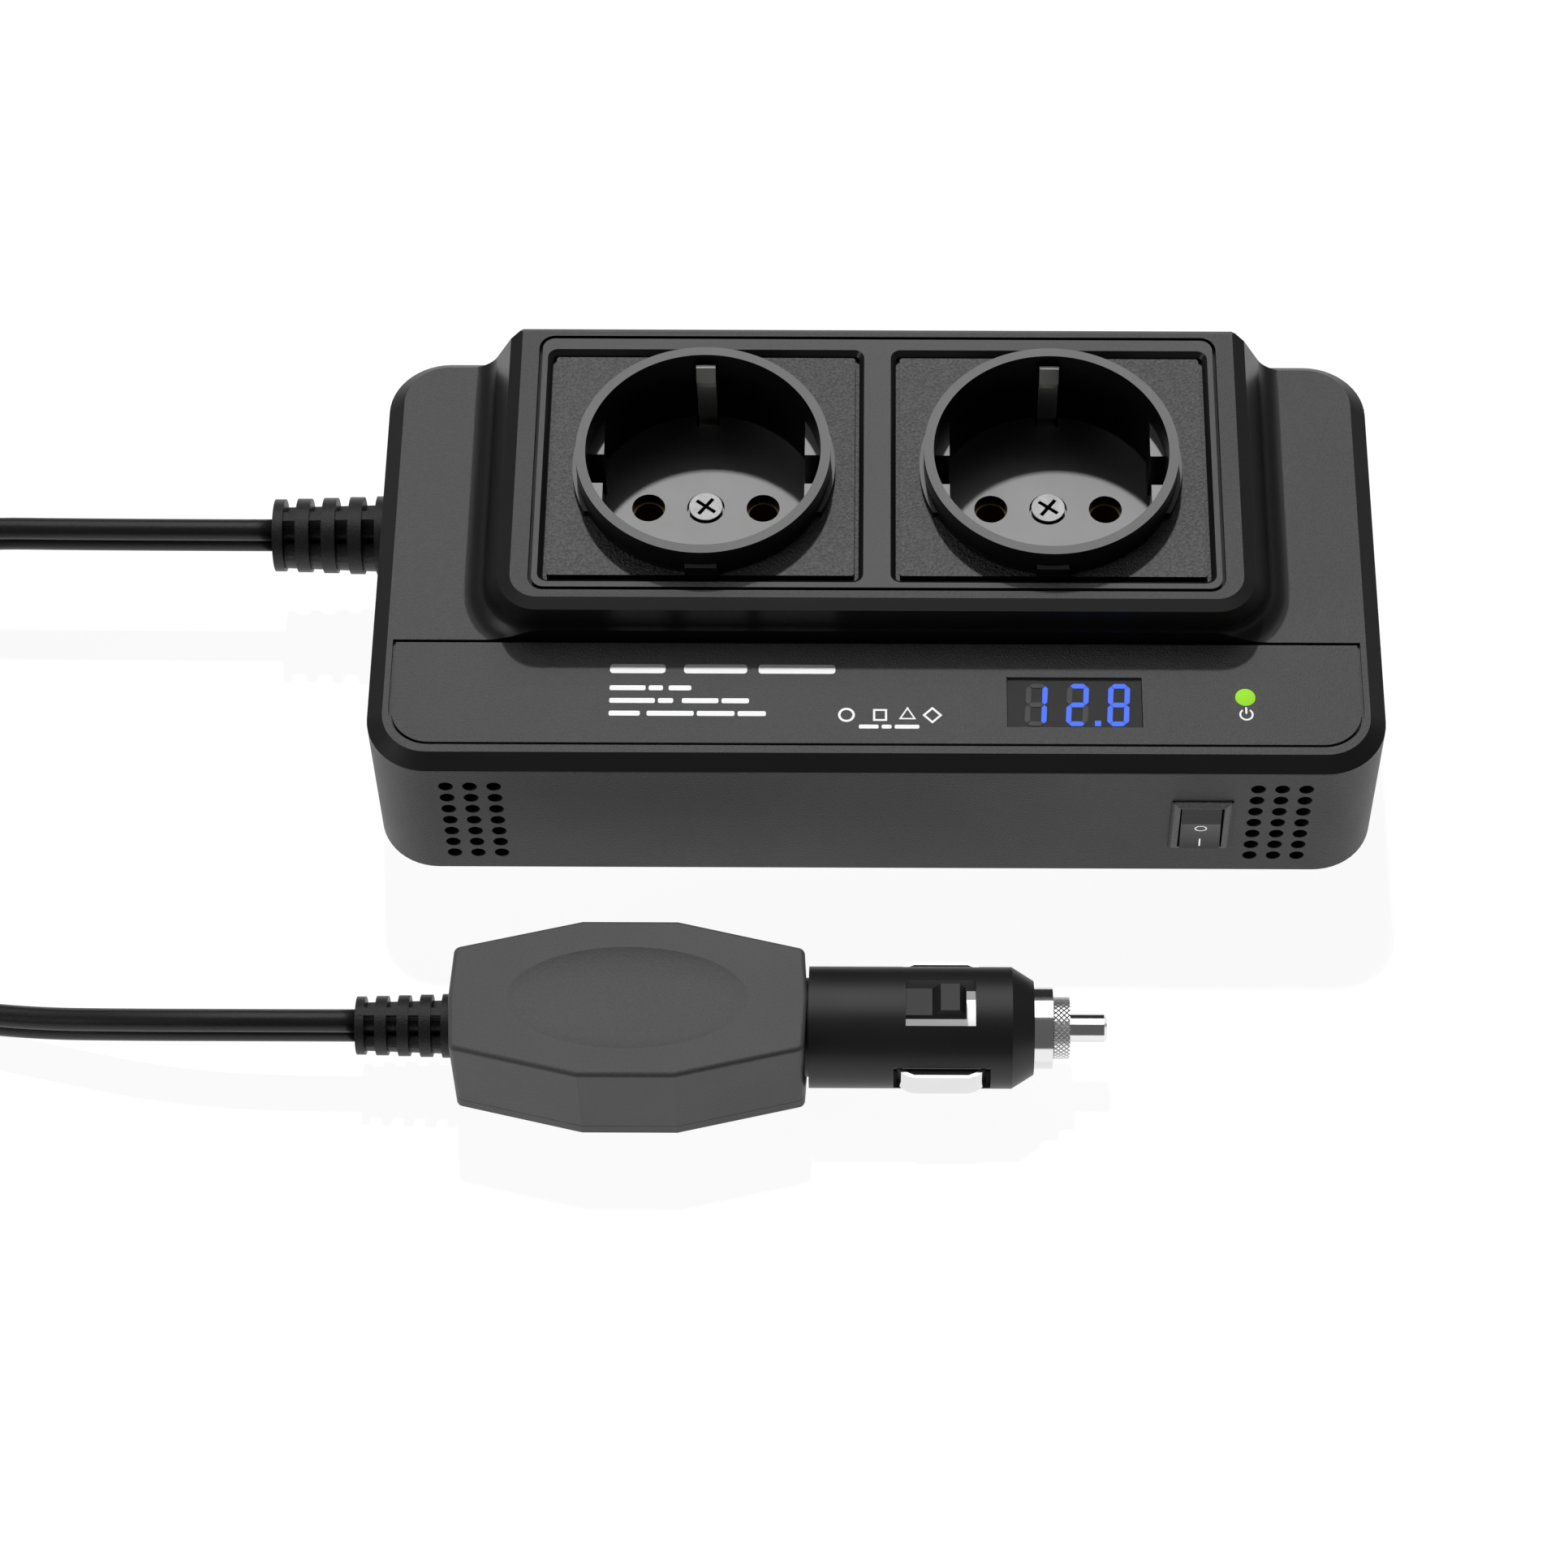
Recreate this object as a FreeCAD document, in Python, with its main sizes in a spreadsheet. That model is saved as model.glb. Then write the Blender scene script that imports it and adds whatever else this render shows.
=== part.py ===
import FreeCAD, Part
import math
import os
from types import SimpleNamespace

import Sketcher
from FreeCAD import Placement, Rotation, Vector

# A 12 V power inverter with two recessed earthed sockets, a voltage display and a twin-flex lead
# that ends in a cigarette-lighter plug. Millimetres, +Z up. The origin is on the surface that the
# feet stand on, under the middle of the case. +X runs along the case, the controls face -Y.

doc = FreeCAD.newDocument("PowerInverter")
sheet = doc.addObject("Spreadsheet::Sheet", "Dims")

DIMENSIONS = (
    # case: levels are heights above the surface
    ("case_length", 164), ("case_width", 81.6), ("case_corner", 10), ("case_wall", 2),
    ("foot_height", 1.5), ("seam_level", 30.4), ("cover_level", 32.5), ("cover_bevel", 2.6),
    ("lip_depth", 2), ("lip_wall", 1.2), ("fit_gap", 0.15),
    # raised socket block on the cover
    ("block_half", 61.3), ("block_front", 16.6), ("block_level", 41.4), ("block_corner", 6.5),
    ("block_bevel", 2), ("block_bevel_drop", 0.8), ("block_taper", 25.5), ("block_lean", 0.4),
    ("block_foot_corner", 11), ("skirt_radius", 4), ("block_back_cut", 2), ("skirt_cut", 1.3),
    ("block_back_bevel", 1.1), ("back_bevel", 1.9),
    # printed label panel in the cover
    ("label_half", 77.95), ("label_front", 36.3), ("label_back", 17.1), ("label_corner", 6.3),
    ("label_thickness", 0.75), ("panel_groove", 0.5),
    # socket frame and its two windows
    ("bezel_half", 55.8), ("bezel_front", 12.2), ("bezel_back", 38.2), ("bezel_thickness", 1.5),
    ("bezel_groove", 0.6), ("bezel_corner", 2), ("bezel_chamfer", 0.8),
    ("window_outer", 54.1), ("window_inner", 3), ("window_front", 10.4), ("window_back", 35.2),
    ("window_corner", 0.9),
    # sockets
    ("socket_offset", 28.4), ("socket_middle", 11.5), ("rim_level", 46.8), ("rim_radius", 20.8),
    ("cup_radius", 19.2), ("cup_floor_level", 30.2), ("cup_floor", 1.7), ("pin_pitch", 19),
    ("pin_hole", 5.5), ("plate_gap", 0.7), ("plate_sink", 0.3), ("plate_thickness", 2.2),
    ("rib_flat", 16.5), ("rib_drop", 5.6), ("rib_slot", 5.8), ("clip_width", 3.2),
    ("clip_thickness", 0.6), ("carrier_radius", 17.5), ("carrier_height", 7.5),
    # rocker switch in the front wall
    ("switch_across", 52.8), ("switch_level", 15.6), ("switch_width", 9.9), ("switch_height", 14),
    ("switch_proud", 0.8), ("rim_edge", 0.3), ("rocker_width", 6.6), ("rocker_height", 10.8),
    # display and power light
    ("display_across", 31.9), ("display_middle", 28.3), ("display_width", 21.7),
    ("display_height", 9.5), ("digit_pitch", 6.63), ("digit_height", 8.1), ("digit_width", 3.5),
    ("digit_middle", 28.53), ("stroke", 0.85), ("led_across", 59.4),
    ("led_middle", 27.2), ("led_radius", 1.62),
    # ventilation holes
    ("vent_hole", 2.4), ("vent_outer", 69.15), ("vent_pitch", 3.87), ("vent_top", 26.15),
    ("vent_step", 3.363),
    # lead
    ("lead_middle", 15.4), ("lead_level", 16.5), ("lobe", 3.75), ("lobe_pitch", 2.95),
    ("boot_length", 19.5), ("boot_start", 13.5), ("boot_end", 12.2),
    ("plug_boot_length", 15.1), ("plug_boot_start", 10.3), ("plug_boot_end", 9.3),
    # lighter plug
    ("plug_middle", 75.6), ("plug_level", 9.75), ("grip_height", 18.9), ("grip_half_width", 14.1),
    ("grip_end_width", 9.2), ("grip_flat", 7.6), ("grip_shoulder", 27.85), ("grip_end", 28.4),
    ("grip_across", 39.1), ("grip_bottom", 2.2), ("grip_wall", 2), ("barrel_radius", 9.7),
    ("barrel_neck", 7.9), ("neck_flange", 8.5), ("barrel_bore", 6.6), ("barrel_end", 21.7),
    ("nose_end", 25.2), ("nose_radius", 7.5), ("liner_radius", 6.5), ("collar_radius", 6.55),
    ("collar_end", 28.2), ("cap_radius", 4.95), ("cap_end", 30.9),
    ("tip_radius", 2.28), ("tip_end", 36.85), ("catch_width", 4.8), ("catch_slot", 8),
    ("catch_shift", 0.5),
)


class Size:
    """A length together with the sheet formula that gives it."""

    def __init__(self, value, text):
        self.value = value
        self.text = text

    def joined(self, other, sign, value):
        return Size(value, f"({self.text} {sign} {formula(other)})")

    def __add__(self, other):
        return self.joined(other, "+", self.value + amount(other))

    def __sub__(self, other):
        return self.joined(other, "-", self.value - amount(other))

    def __mul__(self, other):
        return self.joined(other, "*", self.value * amount(other))

    def __truediv__(self, other):
        return self.joined(other, "/", self.value / amount(other))

    def __radd__(self, other):
        return Size(other + self.value, f"({other:g} + {self.text})")

    def __rsub__(self, other):
        return Size(other - self.value, f"({other:g} - {self.text})")

    def __rmul__(self, other):
        return Size(other * self.value, f"({other:g} * {self.text})")

    def __neg__(self):
        return Size(-self.value, f"(0 - {self.text})")


def amount(size):
    return size.value if isinstance(size, Size) else float(size)


def formula(size):
    return size.text if isinstance(size, Size) else f"{float(size):g}"


d = SimpleNamespace()
for row, (alias, number) in enumerate(DIMENSIONS, start=1):
    sheet.set(f"A{row}", alias)
    sheet.set(f"B{row}", str(number))
    sheet.setAlias(f"B{row}", alias)
    setattr(d, alias, Size(float(number), f"Dims.{alias}"))
doc.recompute()

ALONG_X = Rotation(Vector(0, 1, 0), 90)
ALONG_Y = Rotation(Vector(1, 0, 0), -90)
UPRIGHT = Rotation()
TURN = {"x": ALONG_X, "y": ALONG_Y, "z": UPRIGHT}

nodes = []


def bind(obj, prop, size):
    """Set one property to a size, by the sheet's formula where it has one."""
    if isinstance(size, Size):
        obj.setExpression(prop, size.text)
    else:
        setattr(obj, prop, size)


def put(obj, at, turn=UPRIGHT):
    """Place an object, with each coordinate bound to the sheet."""
    obj.Placement = Placement(Vector(*(amount(c) for c in at)), turn)
    for letter, size in zip("xyz", at):
        if isinstance(size, Size):
            obj.setExpression(f".Placement.Base.{letter}", size.text)
    return obj


def box(name, size, middle, bottom):
    """A box from its three sizes, the middle of its plan and its underside."""
    obj = doc.addObject("Part::Box", name)
    for prop, value in zip(("Length", "Width", "Height"), size):
        bind(obj, prop, value)
    return put(obj, (middle[0] - size[0] / 2, middle[1] - size[1] / 2, bottom))


def span(name, low, high):
    """A box between two opposite corners."""
    obj = doc.addObject("Part::Box", name)
    for prop, start, end in zip(("Length", "Width", "Height"), low, high):
        bind(obj, prop, end - start)
    return put(obj, low)


def rod(name, radius, length, start, axis="z", stop=None):
    """A cylinder, or a cone where stop gives the far radius, from the middle of its near face."""
    if stop is None:
        obj = doc.addObject("Part::Cylinder", name)
        bind(obj, "Radius", radius)
    else:
        obj = doc.addObject("Part::Cone", name)
        bind(obj, "Radius1", radius)
        bind(obj, "Radius2", stop)
    bind(obj, "Height", length)
    return put(obj, start, TURN[axis])


def cut(name, base, *tools):
    obj = doc.addObject("Part::Cut", name)
    obj.Base = base
    obj.Tool = tools[0] if len(tools) == 1 else fuse(name + "_tools", *tools)
    return obj


def fuse(name, *shapes):
    obj = doc.addObject("Part::MultiFuse", name)
    obj.Shapes = list(shapes)
    return obj


def common(name, one, other):
    obj = doc.addObject("Part::MultiCommon", name)
    obj.Shapes = [one, other]
    return obj


def group(name, *shapes):
    obj = doc.addObject("Part::Compound", name)
    obj.Links = list(shapes)
    return obj


def tube(name, outer, inner, length, start, axis="z"):
    """A round tube, the bore running past both ends."""
    wall = rod(name + "_wall", outer, length, start, axis)
    direction = "xyz".index(axis)
    below = [*start]
    below[direction] = start[direction] - 1
    bore = rod(name + "_bore", inner, length + 2, tuple(below), axis)
    return cut(name, wall, bore)


def keep(name, obj):
    """Make an object a node: its label names its file."""
    obj.Label = name
    nodes.append(obj)
    return obj


def plane_of(body, role):
    return next(f for f in body.Origin.OriginFeatures if f.Role == role)


def sketched(body, name, role, points):
    """A closed outline through the points, each one fixed from the origin by the sheet."""
    sketch = body.newObject("Sketcher::SketchObject", name)
    sketch.AttachmentSupport = [(plane_of(body, role), "")]
    sketch.MapMode = "FlatFace"
    corners = [Vector(amount(x), amount(y), 0) for x, y in points]
    count = len(corners)
    for index, corner in enumerate(corners):
        sketch.addGeometry(Part.LineSegment(corner, corners[(index + 1) % count]), False)
    for index in range(count):
        sketch.addConstraint(Sketcher.Constraint("Coincident", index, 2, (index + 1) % count, 1))
    for index, (x, y) in enumerate(points):
        for kind, axis, size in (("DistanceX", -2, x), ("DistanceY", -1, y)):
            if abs(amount(size)) < 1e-6:
                sketch.addConstraint(Sketcher.Constraint("PointOnObject", index, 1, axis))
                continue
            number = sketch.addConstraint(
                Sketcher.Constraint(kind, -1, 1, index, 1, amount(size))
            )
            if isinstance(size, Size):
                sketch.setExpression(f"Constraints[{number}]", size.text)
    return sketch


def padded(name, points, length, at, role="XY_Plane", middle=False):
    """A body made by padding an outline."""
    body = doc.addObject("PartDesign::Body", name)
    sketch = sketched(body, name + "_sketch", role, points)
    pad = body.newObject("PartDesign::Pad", name + "_pad")
    pad.Profile = sketch
    bind(pad, "Length", length)
    pad.Midplane = middle
    put(body, at)
    doc.recompute()
    return body


def rectangle(x0, y0, x1, y1):
    return ((x0, y0), (x1, y0), (x1, y1), (x0, y1))


def edges_where(shape, test):
    return [f"Edge{number}" for number, edge in enumerate(shape.Edges, start=1) if test(edge)]


def rounded(body, radius, test):
    """Round the edges of a body's tip that pass the test."""
    base = body.Tip
    fillet = body.newObject("PartDesign::Fillet", body.Name + "_round")
    fillet.Base = (base, edges_where(base.Shape, test))
    bind(fillet, "Radius", radius)
    doc.recompute()
    return body


def upright(edge):
    """A straight edge parallel to Z."""
    return edge.BoundBox.XLength < 1e-6 and edge.BoundBox.YLength < 1e-6


def upright_front(edge):
    return upright(edge) and edge.CenterOfMass.y < -30


def level(edge, height):
    """An edge that lies flat at a height in its body's own frame."""
    return abs(edge.BoundBox.ZMin - height) < 1e-6 and abs(edge.BoundBox.ZMax - height) < 1e-6


def slab(name, points, height, radius, at, corners=upright):
    """A padded outline with rounded upright corners."""
    body = padded(name, points, height, at)
    return rounded(body, radius, corners) if radius is not None else body


def halves(length, width, inset=0):
    """A centred rectangle, drawn in by an inset."""
    x = length / 2 - inset
    y = width / 2 - inset
    return rectangle(-x, -y, x, y)


SIDES = (("left", -1), ("right", 1))
half_length = d.case_length / 2
half_width = d.case_width / 2
floor_top = d.foot_height + d.case_wall


# ---- lower case -------------------------------------------------------------------------------

def vent_points():
    """Plan position across and height of each ventilation hole of one wall."""
    for side in (-1, 1):
        for column in range(3):
            for row in range(7):
                across = (d.vent_outer - d.vent_pitch * column) * side
                yield across, d.vent_top - d.vent_step * row


def screw_points():
    return [(x, y) for x in (-73.6, 73.6) for y in (-33.4, 33.4)]


def foot_points():
    return [(x, y) for x in (-60.0, 60.0) for y in (-29.0, 29.0)]


USB_PITCH = 17.0
USB_LEVEL = 13.2


def usb_points():
    return [USB_PITCH * (index - 1.5) for index in range(4)]


def make_lower_case():
    outer = slab("case_outer", halves(d.case_length, d.case_width), d.seam_level - d.foot_height,
                 d.case_corner, (0, 0, d.foot_height))
    inner = slab("case_inner", halves(d.case_length, d.case_width, d.case_wall),
                 d.seam_level, d.case_corner - d.case_wall, (0, 0, floor_top))
    tools = [inner]
    for index, (across, height) in enumerate(vent_points()):
        start = (across, -half_width - 1, height)
        tools.append(rod(f"vent_{index}", d.vent_hole / 2, d.case_width + 2, start, "y"))
    tools.append(span("switch_cutout",
                      (d.switch_across - 4.2, -half_width - 1, d.switch_level - 6.2),
                      (d.switch_across + 4.2, -half_width + 3, d.switch_level + 6.2)))
    for index, across in enumerate(usb_points()):
        tools.append(span(f"usb_cutout_{index}", (across - 6.75, half_width - 3, USB_LEVEL - 3.05),
                          (across + 6.75, half_width + 1, USB_LEVEL + 3.05)))
    tools.append(rod("lead_hole", 4.7, 6, (-half_length - 2, d.lead_middle, d.lead_level), "x"))
    for index, (x, y) in enumerate(screw_points()):
        tools.append(rod(f"screw_hole_{index}", 1.7, 4, (x, y, 1)))
        tools.append(rod(f"screw_sink_{index}", 3, 1.6, (x, y, 1)))
    for index, (x, y) in enumerate(foot_points()):
        tools.append(rod(f"foot_seat_{index}", 5.1, 1.2, (x, y, 1)))
    shell = cut("case_shell", outer, *tools)
    posts = [shell]
    for index, (x, y) in enumerate(BOARD_POSTS):
        post = tube(f"board_post_{index}", 2.6, 1.1, 2.7, (x, y, 3.3))
        posts.append(cut(f"board_post_cut_{index}", post,
                         box(f"board_post_foot_{index}", (8, 8, 0.2), (x, y), 3.2)))
    keep("lower_case", fuse("lower_case", *posts))


BOARD_POSTS = [(x, y) for x in (-45.0, 66.0) for y in (-31.0, 20.0)]


# ---- top cover --------------------------------------------------------------------------------

def tapered_block():
    """The block with sloping side walls, its corners opening out towards its foot."""
    shoulder = amount(d.block_level - d.block_bevel_drop)
    foot = amount(d.cover_level)
    half = amount(d.block_half)
    front = -amount(d.block_front - d.block_lean)
    radius = amount(d.block_corner)
    bevel = amount(d.block_bevel)
    back = amount(half_width) + 12
    spread = math.tan(math.radians(amount(d.block_taper)))
    opening = amount(d.block_foot_corner - d.block_corner) / (shoulder - foot)
    lean = amount(d.block_lean) / (shoulder - foot)

    def loop(x, y, bend, height):
        """A rounded outline from its half length, its front and its corner radius."""
        turn = bend * (1 - math.sqrt(0.5))
        rows = (
            (-x, back), (-x, y + bend), (turn - x, y + turn), (bend - x, y),
            (x - bend, y), (x - turn, y + turn), (x, y + bend), (x, back),
        )
        points = [Vector(across, along, height) for across, along in rows]
        return Part.Wire([
            Part.LineSegment(points[0], points[1]).toShape(),
            Part.Arc(points[1], points[2], points[3]).toShape(),
            Part.LineSegment(points[3], points[4]).toShape(),
            Part.Arc(points[4], points[5], points[6]).toShape(),
            Part.LineSegment(points[6], points[7]).toShape(),
            Part.LineSegment(points[7], points[0]).toShape(),
        ])

    depth = shoulder - foot + 1.5
    lower = loop(half + spread * depth, front - lean * depth, radius + opening * depth, shoulder - depth)
    middle = loop(half, front, radius, shoulder)
    upper = loop(half - bevel, front + bevel, radius - bevel, amount(d.block_level))
    walls = Part.makeLoft([lower, middle], True, True)
    top = Part.makeLoft([middle, upper], True, True)
    obj = doc.addObject("Part::Feature", "block_body")
    obj.Shape = walls.fuse(top).removeSplitter()
    return obj


def back_cut(side, sign):
    """The wedge that takes off the block's back corner and its skirt, leaning with its side wall."""
    shoulder = amount(d.block_level - d.block_bevel_drop)
    foot = amount(d.cover_level)
    spread = math.tan(math.radians(amount(d.block_taper)))
    back = amount(half_width)
    loops = []
    for height in (foot, amount(d.block_level) + 1):
        corner = amount(d.block_half) + spread * (shoulder - height)
        share = (height - foot) / (shoulder - foot)
        size = amount(d.skirt_cut) + amount(d.block_back_cut - d.skirt_cut) * share
        rows = (
            (corner - size, back), (corner, back - size), (corner + 2.6, back - size - 0.6),
            (corner + 12, back - size - 0.6), (corner + 12, back + 9), (corner - size, back + 9),
        )
        points = [Vector(sign * x, y, height) for x, y in rows]
        loops.append(Part.makePolygon(points + points[:1]))
    obj = doc.addObject("Part::Feature", f"back_cut_{side}")
    obj.Shape = Part.makeLoft(loops, True, True)
    return obj


def cover_outline():
    """The cover's plate, wholly bevelled, with a narrower bevel along its back."""
    low = amount(d.seam_level)
    edge = low + 0.3
    high = amount(d.cover_level)
    inward = amount(d.cover_bevel)
    x = amount(half_length)
    y = amount(half_width)
    bend = amount(d.case_corner)
    skirt = [round_rectangle(-x, -y, x, y, bend, level_z) for level_z in (low, edge)]
    top = round_rectangle(inward - x, inward - y, x - inward, y - amount(d.back_bevel), bend - inward, high)
    obj = doc.addObject("Part::Feature", "cover_outline")
    obj.Shape = Part.makeLoft(skirt, True, True).fuse(Part.makeLoft([skirt[1], top], True, True))
    return obj


def make_top_cover():
    plate = span("cover_plate", (-half_length - 8, -half_width - 8, d.seam_level),
                 (half_length + 8, half_width + 12, d.cover_level))
    raised = fuse("cover_raised", plate, tapered_block())
    doc.recompute()
    level_z = amount(d.cover_level)
    joint = [
        (number, amount(d.skirt_radius), amount(d.skirt_radius))
        for number, edge in enumerate(raised.Shape.Edges, start=1)
        if abs(edge.BoundBox.ZMin - level_z) < 1e-4 and abs(edge.BoundBox.ZMax - level_z) < 1e-4
        and edge.BoundBox.XMax < 75 and edge.BoundBox.XMin > -75 and edge.BoundBox.YMin > -30
        and edge.BoundBox.YMin < amount(half_width)
    ]
    skirt = doc.addObject("Part::Fillet", "cover_skirt")
    skirt.Base = raised
    skirt.Edges = joint
    # the outline that everything is trimmed to: bevelled plate, and the block above its back edge
    reach = d.block_half + 6.38
    above = span("cover_above", (-reach, -d.block_front, d.cover_level),
                 (reach, half_width, d.block_level + 1))
    corner = d.block_half + 3.86
    foot = half_width - d.skirt_cut
    filler = padded("cover_filler", (
        (-reach, half_width - 8), (reach, half_width - 8), (reach, foot - 0.6), (corner, foot),
        (corner - d.skirt_cut, half_width), (d.skirt_cut - corner, half_width), (-corner, foot),
        (-reach, foot - 0.6),
    ), d.cover_level - d.seam_level, (0, 0, d.seam_level))
    trim = fuse("cover_trim", cover_outline(), above, filler)
    solid = common("cover_solid", skirt, trim)
    tools = [back_cut(side, sign) for side, sign in SIDES]
    drop = d.block_bevel_drop
    tools.append(padded("block_back_bevel", (
        (half_width - d.block_back_bevel, d.block_level), (half_width, d.block_level - drop),
        (half_width + 2, d.block_level - drop), (half_width + 2, d.block_level + 1),
        (half_width - d.block_back_bevel, d.block_level + 1),
    ), 140, (0, 0, 0), "YZ_Plane", middle=True))
    hollow = span("block_hollow", (-d.block_half + 2.4, -d.block_front + 2.4, d.seam_level - 1),
                  (d.block_half - 2.4, half_width - 2.2, d.block_level - 2.5))
    groove = d.bezel_groove
    tools += [
        hollow,
        slab("bezel_seat", rectangle(-d.bezel_half - groove, -d.bezel_front - groove,
                                     d.bezel_half + groove, d.bezel_back + groove),
             3, d.bezel_corner + groove, (0, 0, d.block_level - d.bezel_thickness)),
        span("socket_opening", (-54.6, -11, d.block_level - 4), (54.6, 35.7, d.block_level)),
        slab("label_seat", rectangle(-d.label_half - d.panel_groove, -d.label_front - d.panel_groove,
                                     d.label_half + d.panel_groove, -d.block_front),
             3, d.label_corner + d.panel_groove, (0, 0, d.cover_level - d.label_thickness - 0.05),
             upright_front),
        box("display_opening", (d.display_width + 0.3, d.display_height + 0.3, 6),
            (d.display_across, -d.display_middle), d.seam_level - 2),
        rod("led_opening", d.led_radius + 0.15, 6, (d.led_across, -d.led_middle, d.seam_level - 2)),
    ]
    body = cut("cover_body", solid, *tools)
    inset = d.case_wall + d.fit_gap
    lip_out = slab("lip_outer", halves(d.case_length, d.case_width, inset), d.lip_depth + 0.3,
                   d.case_corner - inset, (0, 0, d.seam_level - d.lip_depth))
    lip_in = slab("lip_inner", halves(d.case_length, d.case_width, inset + d.lip_wall), 6,
                  d.case_corner - inset - d.lip_wall, (0, 0, d.seam_level - d.lip_depth - 1))
    lip = cut("cover_lip", lip_out, lip_in)
    pieces = [body, lip]
    for index, (x, y) in enumerate(screw_points()):
        pieces.append(tube(f"pillar_{index}", 3, 1.25, d.seam_level - 3.3, (x, y, 3.65)))
    keep("top_cover", fuse("top_cover", *pieces))


# ---- label panel, display and power light -------------------------------------------------------

LABEL_TOP = d.cover_level - 0.05


def make_label_panel():
    panel = slab("label_plate", rectangle(-d.label_half, -d.label_front, d.label_half, -d.label_back),
                 d.label_thickness, d.label_corner, (0, 0, LABEL_TOP - d.label_thickness),
                 upright_front)
    window = box("label_window", (d.display_width + 0.1, d.display_height + 0.1, 3),
                 (d.display_across, -d.display_middle), d.cover_level - 2)
    hole = rod("label_led", d.led_radius + 0.05, 3, (d.led_across, -d.led_middle, d.cover_level - 2))
    keep("label_panel", cut("label_panel", panel, window, hole))


DIGITS = (("1", 0), ("2", 1), ("8", 2))
SEGMENTS = {"1": "bc", "2": "abged", "8": "abcdefg"}
SLANT = 3.1
BAR_GAP = 0.07


def segment(name, letter, across, face):
    """One bar of a digit, leaning with it. Letters a to g go round from the top bar."""
    thick = amount(d.stroke)
    rise = (amount(d.digit_height) - thick) / 2
    reach = (amount(d.digit_width) - thick) / 2
    lean = math.tan(math.radians(SLANT))
    bar_x = {"a": 0, "g": 0, "d": 0, "b": reach, "c": reach, "e": -reach, "f": -reach}[letter]
    bar_y = {"a": rise, "g": 0, "d": -rise, "b": rise / 2, "c": -rise / 2,
             "e": -rise / 2, "f": rise / 2}[letter]
    flat = letter in "agd"
    end = thick / 2
    half = (reach if flat else rise / 2) - end - BAR_GAP
    run = ((-half, -end), (half, -end), (half + end, 0), (half, end), (-half, end), (-half - end, 0))
    corners = []
    for u, v in run:
        x = bar_x + (u if flat else v)
        y = bar_y + (v if flat else u)
        corners.append(Vector(across + x + y * lean, -amount(d.digit_middle) + y, face))
    wire = Part.makePolygon(corners + corners[:1])
    obj = doc.addObject("Part::Feature", name)
    obj.Shape = Part.Face(wire).extrude(Vector(0, 0, 0.1))
    return obj


def make_display():
    face_level = d.cover_level - 0.55
    module = box("module_block", (d.display_width - 0.1, d.display_height - 0.1, 6),
                 (d.display_across, -d.display_middle), face_level - 6)
    keep("display_module", module)
    lens = box("lens", (d.display_width - 0.1, d.display_height - 0.1, 0.3),
               (d.display_across, -d.display_middle), d.cover_level - 0.35)
    keep("display_window", lens)
    lit = []
    dim = []
    for text, place in DIGITS:
        across = amount(d.display_across) + amount(d.digit_pitch) * (place - 0.93)
        for letter in "abcdefg":
            bars = lit if letter in SEGMENTS[text] else dim
            bars.append(segment(f"bar_{place}_{letter}", letter, across, amount(face_level)))
    foot = -d.digit_middle - d.digit_height / 2
    lit.append(box("decimal_point", (1, 1, 0.1), (d.display_across + d.digit_pitch * 0.557, foot + 0.5),
                   face_level))
    keep("display_digits_lit", group("display_digits_lit", *lit))
    keep("display_digits_dark", group("display_digits_dark", *dim))


def make_power_led():
    dome = doc.addObject("Part::Sphere", "led_dome")
    bind(dome, "Radius", d.led_radius * 2)
    put(dome, (d.led_across, -d.led_middle, d.cover_level + 0.35 - d.led_radius * 2))
    stem = rod("led_stem", d.led_radius, 6, (d.led_across, -d.led_middle, d.cover_level - 5))
    body = common("led_body", stem, dome)
    lower = rod("led_lower", d.led_radius, 3, (d.led_across, -d.led_middle, d.cover_level - 5.4))
    keep("power_led", fuse("power_led", body, lower))


# ---- socket frame and sockets -------------------------------------------------------------------

def make_bezel():
    top = d.block_level
    frame = slab("bezel_frame", rectangle(-d.bezel_half, -d.bezel_front, d.bezel_half, d.bezel_back),
                 d.bezel_thickness, d.bezel_corner, (0, 0, top - d.bezel_thickness))
    tools = []
    for side, sign in SIDES:
        low = d.window_inner * sign
        high = d.window_outer * sign
        points = rectangle(low, -d.window_front, high, d.window_back)
        tools.append(slab(f"window_{side}", points, 4, d.window_corner, (0, 0, top - 3)))
        tools.append(window_bevel(f"window_bevel_{side}", sign))
    keep("socket_bezel", cut("socket_bezel", frame, *tools))


def round_rectangle(x0, y0, x1, y1, bend, height):
    """A rectangular wire with rounded corners."""
    turn = bend * (1 - math.sqrt(0.5))
    corners = ((x1, y0, -1, 1), (x1, y1, -1, -1), (x0, y1, 1, -1), (x0, y0, 1, 1))
    edges = []
    last = Vector(x0 + bend, y0, height)
    for index, (x, y, inward, upward) in enumerate(corners):
        flat = Vector(x + inward * bend, y, height)
        standing = Vector(x, y + upward * bend, height)
        enter, leave = (flat, standing) if index % 2 == 0 else (standing, flat)
        edges.append(Part.LineSegment(last, enter).toShape())
        middle = Vector(x + inward * turn, y + upward * turn, height)
        edges.append(Part.Arc(enter, middle, leave).toShape())
        last = leave
    return Part.Wire(edges)


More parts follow.
